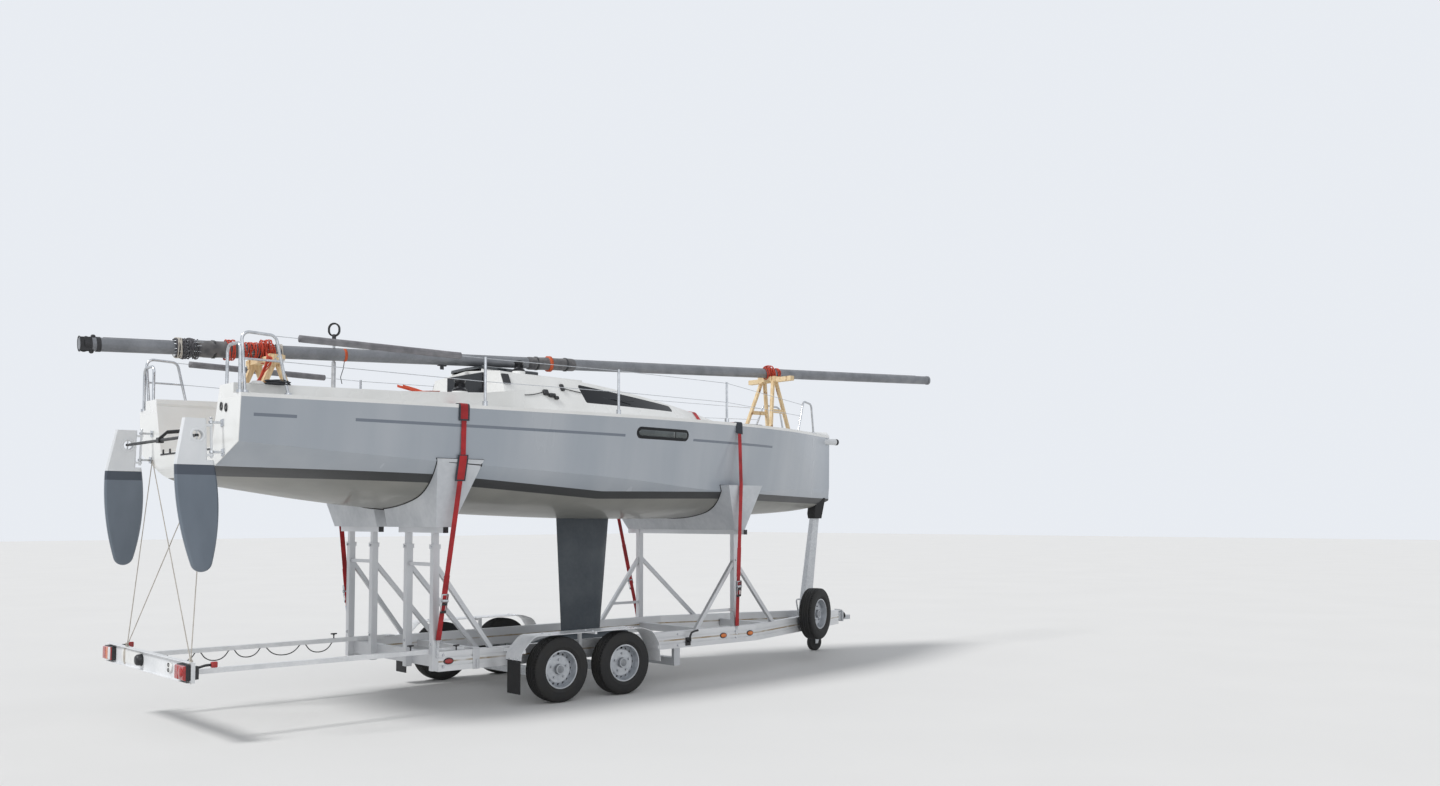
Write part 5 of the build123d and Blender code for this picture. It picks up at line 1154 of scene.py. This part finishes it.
# Light board: a folded white metal board on the two rear rails. It carries a lamp cluster at each
# end, a blank number plate with its round black lamp, a white reflector unit, and marker arms.
board_paint = weathered("board_white", (232, 233, 234), (214, 216, 218), 4.0, (0.28, 0.42), 0.0003)
dress(board_paint, "light_board")
board_face = -3.670
board_half = 1.018
board_low = 0.475
board_top = 0.630
flanges = [
    block((board_face - 0.022, -board_half, board_top - 0.004), (board_face + 0.002, board_half, board_top), 0.001, board_paint),
    block((board_face - 0.022, -board_half, board_low), (board_face + 0.002, board_half, board_low + 0.004), 0.001, board_paint),
]
fit("light_board_flanges", joined(flanges, board_paint), boat)
lamp_red = weathered("lamp_red", (176, 26, 22), (142, 16, 15), 30.0, (0.12, 0.22), 0.0004, {"Coat Weight": 0.6})
ribs = lamp_red.node("ShaderNodeTexWave", {"bands_direction": "Z"}, {"Vector": lamp_red.place(), "Scale": 60.0}, "Fac")
lamp_red.relief(ribs, 0.0006, 0.5)
dress(lamp_red, "tail_lamps")
lamp_clear = weathered("lamp_clear", (222, 224, 226), (196, 198, 202), 40.0, (0.1, 0.2), 0.0004, {"Coat Weight": 0.6})
lamp_amber = weathered("lamp_amber", (214, 104, 24), (190, 84, 16), 40.0, (0.12, 0.22), 0.0004, {"Coat Weight": 0.6})
lamp_face = -3.720
for name, side, parts in (
    ("port", 1, ((0.925, 1.002, lamp_red, 0.500, 0.604), (0.868, 0.921, lamp_amber, 0.500, 0.604), (0.808, 0.864, lamp_clear, 0.500, 0.604))),
    ("starboard", -1, ((0.890, 1.002, lamp_red, 0.500, 0.604), (0.808, 0.886, lamp_red, 0.500, 0.604))),
):
    for number, (inner, outer, finish, low, top) in enumerate(parts):
        y0, y1 = sorted((side * inner, side * outer))
        lens = [block((lamp_face - 0.004, y0, low), (lamp_face + 0.022, y1, top), 0.008, finish, 3)]
        if name == "starboard" and number == 0:
            lens.append(placed(oval_plate(0.040, 0.040, 0.006, finish, 0.008), facing((lamp_face - 0.003, side * 0.946, 0.556), (-1, 0, 0), "Y")))
        fit(f"lamp_{name}_lens_{number}", joined(lens, finish), boat, False)
    housing = [block((board_face - 0.036, min(side * 0.800, side * 1.008), 0.492), (board_face + 0.001, max(side * 0.800, side * 1.008), 0.612), 0.006, black_fitting)]
    arm_y = side * 1.012
    y0, y1 = sorted((arm_y, arm_y - side * 0.050))
    housing.append(block((board_face - 0.006, y0, 0.500), (board_face + 0.060, y1, 0.600), 0.004, black_fitting))
    fit(f"lamp_{name}_housing", joined(housing, black_fitting), boat)
    arm = [Vector((board_face + 0.050, side * 0.990, 0.585)), Vector((board_face + 0.110, side * 1.000, 0.600)), Vector((board_face + 0.170, side * 1.000, 0.602))]
    fit(f"marker_arm_{name}", tube(arm, 0.010, black_fitting, 10), boat, True)
    head = block((board_face + 0.150, side * 1.0 - 0.017, 0.578), (board_face + 0.198, side * 1.0 + 0.017, 0.625), 0.008, lamp_red, 3)
    fit(f"marker_lamp_{name}", head, boat)
plate_white = weathered("blank_plate", (232, 232, 230), (220, 220, 218), 12.0, (0.3, 0.4), 0.0002)
plate_rim = [block((board_face - 0.004, 0.115, 0.500), (board_face + 0.001, 0.635, 0.612), 0.0015, plate_white)]
for across in (0.117, 0.631):
    plate_rim.append(block((board_face - 0.0055, across, 0.502), (board_face - 0.003, across + 0.002, 0.610), 0.0006, plate_white))
fit("blank_number_plate", joined(plate_rim, plate_white), boat)
plate_lamp_line = ((0, 0.050), (0.034, 0.048), (0.044, 0.036), (0.047, 0.012), (0.050, 0.0), (0, 0))
plate_lamp = placed(turned(plate_lamp_line, 32, black_fitting), facing((board_face - 0.002, 0.125, 0.556), (-1, 0, 0), "Y"))
fit("number_plate_lamp", plate_lamp, boat, True)
reflector = placed(oval_plate(0.042, 0.062, 0.010, plate_white, 0.003), facing((board_face - 0.001, -0.560, 0.556), (-1, 0, 0), "Y"))
fit("white_reflector_unit", reflector, boat, True)
reflector_rings = [
    washer(((0.012, 0.0), (0.012, 0.004), (0.016, 0.004), (0.016, 0.0)), 24, black_fitting),
    washer(((0.012, 0.0), (0.012, 0.004), (0.016, 0.004), (0.016, 0.0)), 24, black_fitting),
]
rings_placed = [placed(ring, facing((board_face - 0.0135, -0.560, high), (-1, 0, 0), "Y")) for ring, high in zip(reflector_rings, (0.536, 0.576))]
fit("white_reflector_rings", joined(rings_placed, black_fitting), boat)

# Board lashings: pale three-strand cord, pulled tight from the board up to the transom, with a
# few turns and a knot where each pair meets the board.
cord_runs = (
    ((-3.655, 0.560, 0.636), (-3.4155, 0.800, 2.230)), ((-3.655, 0.560, 0.636), (-3.4155, -0.500, 2.180)),
    ((-3.655, -0.960, 0.636), (-3.4155, -0.470, 2.160)), ((-3.655, -0.960, 0.636), (-3.4155, 0.790, 2.215)),
)
strand_radius = 0.0022
strand_reach = 0.0024
laid = []
for start, end in cord_runs:
    start, end = Vector(start), Vector(end)
    way = (end - start).normalized()
    one = way.orthogonal().normalized()
    two = way.cross(one)
    long = (end - start).length
    steps = int(long / 0.008)
    for strand in range(3):
        points = []
        for k in range(steps + 1):
            turn = 2 * pi * (long * k / steps) / 0.045 + strand * 2 * pi / 3
            points.append(start + way * (long * k / steps) + (one * cos(turn) + two * sin(turn)) * strand_reach)
        laid.append(tube(points, strand_radius, pale_rope, 5))
for across in (0.560, -0.960):
    for k in range(4):
        ring = [
            Vector((-3.655 + 0.0225 * cos(a * pi / 8), across + 0.009 * (k - 1.5), 0.5525 + 0.0835 * sin(a * pi / 8))) for a in range(17)
        ]
        laid.append(tube(ring, 0.0045, pale_rope, 6))
    knot = [
        Vector((-3.655 + 0.010 * sin(2 * a), across + 0.013 * sin(3 * a), 0.646 + 0.011 * cos(2.4 * a))) for a in [k * 0.35 for k in range(19)]
    ]
    laid.append(tube(knot, 0.005, pale_rope, 6))
lashing = fit("board_lashings", joined(laid, pale_rope), boat, True)
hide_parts("board_ropes")

# Straps: red woven webbing that holds the boat down, with dark wear sleeves over the sheer and
# the chine, and a ratchet low on each side. The webbing is pulled flat and tight.
webbing = Finish("red_webbing", {"Sheen Weight": 0.15})
ribbing = webbing.node("ShaderNodeTexWave", {"bands_direction": "Z"}, {"Vector": webbing.place(), "Scale": 180.0, "Distortion": 0.3}, "Fac")
rubbed = webbing.steep(webbing.cloud(7.0, 4.0), 0.4, 0.7)
webbing.set("Base Color", webbing.mix(rubbed, colour(176, 20, 28), colour(140, 14, 22)))
webbing.set("Roughness", 0.58 + rubbed * 0.14)
webbing.relief(ribbing, 0.0006, 0.5)
sleeve_cloth = Finish("sleeve_cloth")
sleeve_weave = sleeve_cloth.node("ShaderNodeTexWave", {"bands_direction": "Z"}, {"Vector": sleeve_cloth.place(), "Scale": 240.0, "Distortion": 0.4}, "Fac")
sleeve_cloth.set("Base Color", sleeve_cloth.mix(sleeve_weave, colour(44, 48, 54), colour(66, 70, 78)))
sleeve_cloth.set("Roughness", 0.8 + sleeve_weave * 0.1)
sleeve_cloth.relief(sleeve_weave, 0.0005, 0.5)
web_wide = 0.049
web_thick = 0.0028


def ribbon(points, wide, thick, finish, bend=0.03, crown=0.0):
    """A flat strap along a line, its corners eased over a short bend."""
    line = [Vector(points[0])]
    for before, here, after in zip(points, points[1:], points[2:]):
        before, here, after = Vector(before), Vector(here), Vector(after)
        back = min(bend, (before - here).length * 0.4)
        ahead = min(bend, (after - here).length * 0.4)
        near, far = here + (before - here).normalized() * back, here + (after - here).normalized() * ahead
        line += [near.lerp(here, t).lerp(here.lerp(far, t), t) for t in (0.0, 0.25, 0.5, 0.75, 1.0)]
    line.append(Vector(points[-1]))
    shape = bmesh.new()
    rows = []
    for i, point in enumerate(line):
        way = (line[min(i + 1, len(line) - 1)] - line[max(i - 1, 0)]).normalized()
        across = (Vector((1, 0, 0)) - way * way.x).normalized()
        face = way.cross(across)
        section = ((-0.5, -0.36), (-0.47, -0.5), (0.47, -0.5), (0.5, -0.36), (0.5, 0.36), (0.47, 0.5), (0, 0.5 + crown), (-0.47, 0.5), (-0.5, 0.36))
        rows.append([shape.verts.new(point + across * (u * wide) + face * (v * thick)) for u, v in section])
    for near, far in zip(rows, rows[1:]):
        for k in range(len(near)):
            shape.faces.new((near[k], near[(k + 1) % len(near)], far[(k + 1) % len(near)], far[k]))
    shape.faces.new(rows[0])
    shape.faces.new(rows[-1])
    return solid(shape, finish)


def mirrored(points, side):
    return [(x, side * y, z) for x, y, z in points]


rear_web = (
    (-1.506, 0.8545, 0.475), (-1.506, 0.8545, 0.600), (-1.498, 1.238, 2.232), (-1.510, 1.2715, 2.7047),
    (-1.505, 1.180, 2.7078), (-1.500, 1.0535, 2.7129),
)
front_web = (
    (2.150, 0.855, 0.440), (2.150, 0.855, 0.500), (1.965, 1.120, 2.063), (2.020, 1.036, 2.7445),
    (2.020, 0.4174, 2.7739), (2.020, 0.2981, 2.9011), (2.020, 0.0, 2.954),
)
hook_wide = 0.030
hook_thick = 0.005
web_starts = 0.022


def part_way(points, start, end):
    """The stretch of a line of points between two shares of one run, given as (run, share)."""
    def spot(run, share):
        return Vector(points[run]).lerp(Vector(points[run + 1]), share)
    middle = [Vector(p) for p in points[start[0] + 1:end[0] + 1]]
    return [spot(*start)] + middle + [spot(*end)]


webs = []
sleeves = []
folds = []
hooks = []
for side in (-1, 1):
    rear = mirrored(rear_web, side)
    front = mirrored(front_web, side)
    webs.append(ribbon(part_way(rear, (1, web_starts), (4, 1.0)), web_wide, web_thick, webbing))
    for line in (rear, front):
        hook = part_way(line, (0, 0.02), (1, web_starts))
        hooks.append(ribbon(hook, hook_wide, hook_thick, steel))
        bar = [hook[-1] + Vector((reach, 0, 0)) for reach in (-0.029, 0.029)]
        hooks.append(tube(bar, 0.005, steel, 12))
        folds.append(ribbon(part_way(line, (1, web_starts), (1, web_starts + 0.05)), web_wide, 0.012, webbing))
    sleeves.append(ribbon(part_way(rear, (2, 0.69), (3, 0.70)), 0.104, 0.0085, sleeve_cloth))
    sleeves.append(ribbon(part_way(rear, (1, 0.880), (2, 0.065)), 0.100, 0.0085, sleeve_cloth))
    sleeves.append(ribbon(part_way(front, (2, 0.815), (3, 0.05)), 0.088, 0.0085, sleeve_cloth))
    folds.append(ribbon(part_way(rear, (2, 0.72), (3, 0.60)), 0.072, 0.0115, webbing))
    folds.append(ribbon(part_way(rear, (1, 0.888), (2, 0.050)), 0.072, 0.0115, webbing))
    folds.append(ribbon(part_way(rear, (1, 0.275), (1, 0.373)), 0.054, 0.0085, webbing))
    folds.append(ribbon(part_way(front, (1, 0.37), (1, 0.57)), 0.053, 0.0080, webbing))
whole_front = part_way(mirrored(front_web, 1), (1, web_starts), (5, 1.0))
whole_front += [Vector((x, -y, z)) for x, y, z in whole_front[-2::-1]]
webs.append(ribbon(whole_front, web_wide, web_thick, webbing))
fit("strap_wear_sleeves", joined(sleeves, sleeve_cloth), boat)
strap_piece = fit("webbing_straps", joined(webs + folds, webbing), boat)
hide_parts("straps")
fit("strap_hooks", joined(hooks, steel), boat)
ratchets = []
levers = []
for side in (-1, 1):
    for points, run, share in ((rear_web, 1, 0.238), (front_web, 1, 0.300)):
        line = mirrored(points, side)
        spot = Vector(line[run]).lerp(Vector(line[run + 1]), share)
        way = (Vector(line[run + 1]) - Vector(line[run])).normalized()
        across = (Vector((1, 0, 0)) - way * way.x).normalized()
        out = across.cross(way)
        if out.y * side < 0:
            out = -out
        seat = Matrix.Translation(spot) @ Matrix((out.cross(way), out, way)).transposed().to_4x4()
        for edge in (-0.031, 0.028):
            ratchets.append(placed(block((edge, -0.004, -0.050), (edge + 0.003, 0.024, 0.062), 0.001, steel), seat))
            arm = block((edge * 0.9, 0.010, -0.104), (edge * 0.9 + 0.003, 0.023, 0.012), 0.001, steel)
            ratchets.append(placed(arm, seat))
        ratchets.append(placed(block((-0.028, 0.001, 0.048), (0.028, 0.005, 0.060), 0.001, steel), seat))
        ratchets.append(placed(turned(((0, -0.036), (0.006, -0.035), (0.006, 0.035), (0, 0.036)), 16, steel), seat @ facing((0, 0.012, 0.0), (1, 0, 0))))
        ratchets.append(placed(turned(((0, -0.026), (0.015, -0.025), (0.015, 0.025), (0, 0.026)), 20, webbing), seat @ facing((0, 0.012, 0.0), (1, 0, 0))))
        for edge in (-0.034, 0.032):
            teeth = ring_of(block((0.009, -0.0022, -0.0010), (0.0155, 0.0022, 0.0010), 0, steel), 10, steel)
            ratchets.append(placed(teeth, seat @ facing((edge, 0.012, 0.0), (1, 0, 0))))
        levers.append(placed(block((-0.027, 0.007, -0.112), (0.029, 0.025, -0.090), 0.005, black_fitting, 3), seat))
        levers.append(placed(block((-0.024, 0.020, -0.040), (0.026, 0.025, -0.018), 0.002, black_fitting), seat))
fit("strap_ratchets", joined(ratchets, steel), boat)
fit("strap_ratchet_levers", joined(levers, black_fitting), boat)
blue_patch = weathered("blue_webbing", (40, 90, 150), (30, 70, 124), 30.0, (0.6, 0.75), 0.0004)
patch = ribbon(part_way(mirrored(rear_web, 1), (1, 0.120), (1, 0.150)), 0.0515, 0.0050, blue_patch)
fit("strap_blue_stitch_patch", patch, boat)
orange_webbing = weathered("orange_webbing", (214, 86, 50), (186, 66, 38), 30.0, (0.6, 0.75), 0.0005)
loose_end = ((-1.500, -1.052, 2.7300), (-1.530, -1.0405, 2.800), (-1.610, -1.020, 2.8440), (-1.760, -0.985, 2.8500), (-1.930, -0.955, 2.8560))
tails = []
for along in (0.0, 0.035):
    points = []
    for x, y, z in loose_end:
        met, way = surface("deck", (x - along, y + along, z + 0.4), (0, 0, -1))
        points.append(tuple(met + Vector((0, 0, 0.004 + along * 0.1))) if met and abs(met.z - z) < 0.05 else (x - along, y + along, z))
    tails.append(ribbon(points[2:], 0.032, 0.002, orange_webbing, 0.05))
fit("strap_loose_end", joined(tails, orange_webbing), boat)

# Wheels: pressed steel rims in silver paint with round vents, five bolts and a plastic hub cap,
# and radial road tyres with straight grooves, sipes across the shoulders and a ring on the wall.
rim = weathered("rim_silver", (196, 199, 203), (176, 180, 185), 12.0, (0.3, 0.45), 0.0003, {"Metallic": 0.45})
wheel_names = ("rear_port", "front_port", "rear_starboard", "front_starboard", "spare")
dress(rim, *[f"rim_{name}" for name in wheel_names])
tyre_rubber = Finish("tyre_rubber")
dust = tyre_rubber.steep(tyre_rubber.cloud(9.0, 5.0), 0.4, 0.7)
tyre_rubber.set("Base Color", tyre_rubber.mix(dust, colour(24, 24, 25), colour(45, 44, 42)))
tyre_rubber.set("Roughness", 0.68 + dust * 0.2)
tyre_rubber.relief(tyre_rubber.cloud(240.0, 2.0), 0.0006, 0.4)
tread_pitches = 64
sipe_share = 0.2
tyre_wall = (
    (0.1785, 0.0740), (0.186, 0.0800), (0.196, 0.0840), (0.206, 0.0885), (0.209, 0.0905), (0.213, 0.0905),
    (0.216, 0.0895), (0.238, 0.0920), (0.262, 0.0895), (0.276, 0.0865), (0.288, 0.0810), (0.296, 0.0765),
)
tyre_shoulder = ((0.3005, 0.0720), (0.3025, 0.0640), (0.3030, 0.0500))
tyre_crown = (
    (0.2955, 0.0490), (0.2955, 0.0420), (0.3040, 0.0410), (0.3045, 0.0180), (0.2960, 0.0170), (0.2960, 0.0100),
    (0.3045, 0.0090),
)


def tyre_pitch():
    """One pitch of the tread, from bead to bead, its faces open towards its neighbours."""
    half = tyre_wall + tyre_shoulder + tyre_crown
    section = [(r, w, r > 0.3 and w > 0.045) for r, w in half]
    section += [(r, -w, grips) for r, w, grips in reversed(section)]
    step = 2 * pi / tread_pitches
    shape = bmesh.new()
    columns = []
    for share, cut in ((0.0, True), (sipe_share - 0.03, True), (sipe_share, False), (0.97, False), (1.0, True)):
        column = []
        for r, w, grips in section:
            radius = r - 0.0055 if grips and cut else r
            column.append(shape.verts.new((radius * cos(step * share), radius * sin(step * share), w)))
        columns.append(column)
    for near, far in zip(columns, columns[1:]):
        for i in range(len(section)):
            k = (i + 1) % len(section)
            shape.faces.new((near[i], far[i], far[k], near[k]))
    mesh = bpy.data.meshes.new("tyre_pitch")
    shape.to_mesh(mesh)
    shape.free()
    return mesh


cap_plastic = weathered("cap_plastic", (150, 153, 157), (128, 131, 135), 30.0, (0.4, 0.55), 0.0002)
bolt_steel = weathered("bolt_steel", (190, 192, 195), (160, 163, 168), 60.0, (0.3, 0.45), 0.0002, {"Metallic": 0.9})
tyre_ring = ring_of(tyre_pitch(), tread_pitches, tyre_rubber)
wheel_bolts = placed(ring_of(screw_unit(0.088, 0.021, 0.016, 6), 5, bolt_steel), Matrix.Translation((0, 0, 0.0235)))
wheel_bolts.materials.clear()
wheel_bolts.materials.append(bolt_steel.material)
cap_line = ((0, 0.0635), (0.024, 0.0630), (0.033, 0.0590), (0.0365, 0.0560), (0.0445, 0.0555), (0.0470, 0.0500), (0.0500, 0.0230), (0, 0.0230))
hub_cap = turned(cap_line, 36, cap_plastic)
# A black ring behind the rim's vents: painted shade, so the vents show the dark inside of the wheel.
vent_painted_shade_ring = washer(((0.122, 0.009), (0.1565, -0.010), (0.1565, -0.013), (0.122, 0.006)), 48, black_fitting)
valve_line = ((0, 0.030), (0.004, 0.030), (0.0045, 0.020), (0.006, 0.004), (0, 0.0))
beam_lean = (0.820 - 0.086) / (4.640 - 2.450)
for name in wheel_names:
    low, high = (Vector(corner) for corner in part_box(f"rim_{name}"))
    tyre_low, tyre_high = (Vector(corner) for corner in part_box(f"tyre_{name}"))
    centre = (tyre_low + tyre_high) / 2
    out = Vector((beam_lean, -1, 0)) if name == "spare" else Vector((0, 1 if centre.y > 0 else -1, 0))
    to_wheel = facing(centre, out)
    body = boat if name == "spare" else f"wheel_{name}"
    tyre = fit(f"{name}_tyre_treaded", placed(tyre_ring, to_wheel), body, True)
    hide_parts(f"tyre_{name}")
    fit(f"{name}_wheel_bolts", placed(wheel_bolts, to_wheel), body)
    fit(f"{name}_hub_cap", placed(hub_cap, to_wheel), body, True)
    if name != "spare":
        fit(f"{name}_vent_painted_shade_ring", placed(vent_painted_shade_ring, to_wheel), body, True)
    valve = placed(turned(valve_line, 12, tyre_rubber), to_wheel @ facing((0.152, 0.0, 0.004), (-0.25, 0, 1)))
    fit(f"{name}_valve", valve, body, True)
carrier_handle = [
    Vector((3.690, -0.452, 0.660)), Vector((3.690, -0.470, 0.720)), Vector((3.700, -0.500, 0.745)), Vector((3.705, -0.540, 0.750)),
]
fit("spare_carrier_handle", tube(carrier_handle, 0.008, black_fitting, 10), boat, True)

# Jockey wheel and coupling: cast and zinc plated parts, with a black grip on the crank and a black
# rubber gaiter on the drawbar behind the ball head.
grip_line = ((0, 0.084), (0.012, 0.083), (0.0155, 0.076), (0.0145, 0.040), (0.0155, 0.008), (0.013, 0.0), (0, 0.0))
fit("jockey_crank_grip", placed(turned(grip_line, 20, black_fitting), Matrix.Translation((4.710, 0.215, 0.699))), boat, True)
gaiter_line = [(0, -0.001)]
folds_count = 6
for k in range(folds_count * 2 + 1):
    gaiter_line.append((0.046 if k % 2 else 0.0385, 0.070 * k / (folds_count * 2)))
gaiter_line.append((0, 0.071))
gaiter = placed(turned(gaiter_line, 32, rubber), facing((4.803, 0, 0.4425), (1, 0, 0)))
fit("coupling_gaiter", gaiter, boat, True)
coupling_bolts = []
for across in (-0.052, 0.052):
    for high in (0.400, 0.485):
        coupling_bolts.append(placed(frame_bolt, facing((4.7995, across, high), (1, 0, 0))))
fit("coupling_bolts", joined(coupling_bolts, steel), boat)
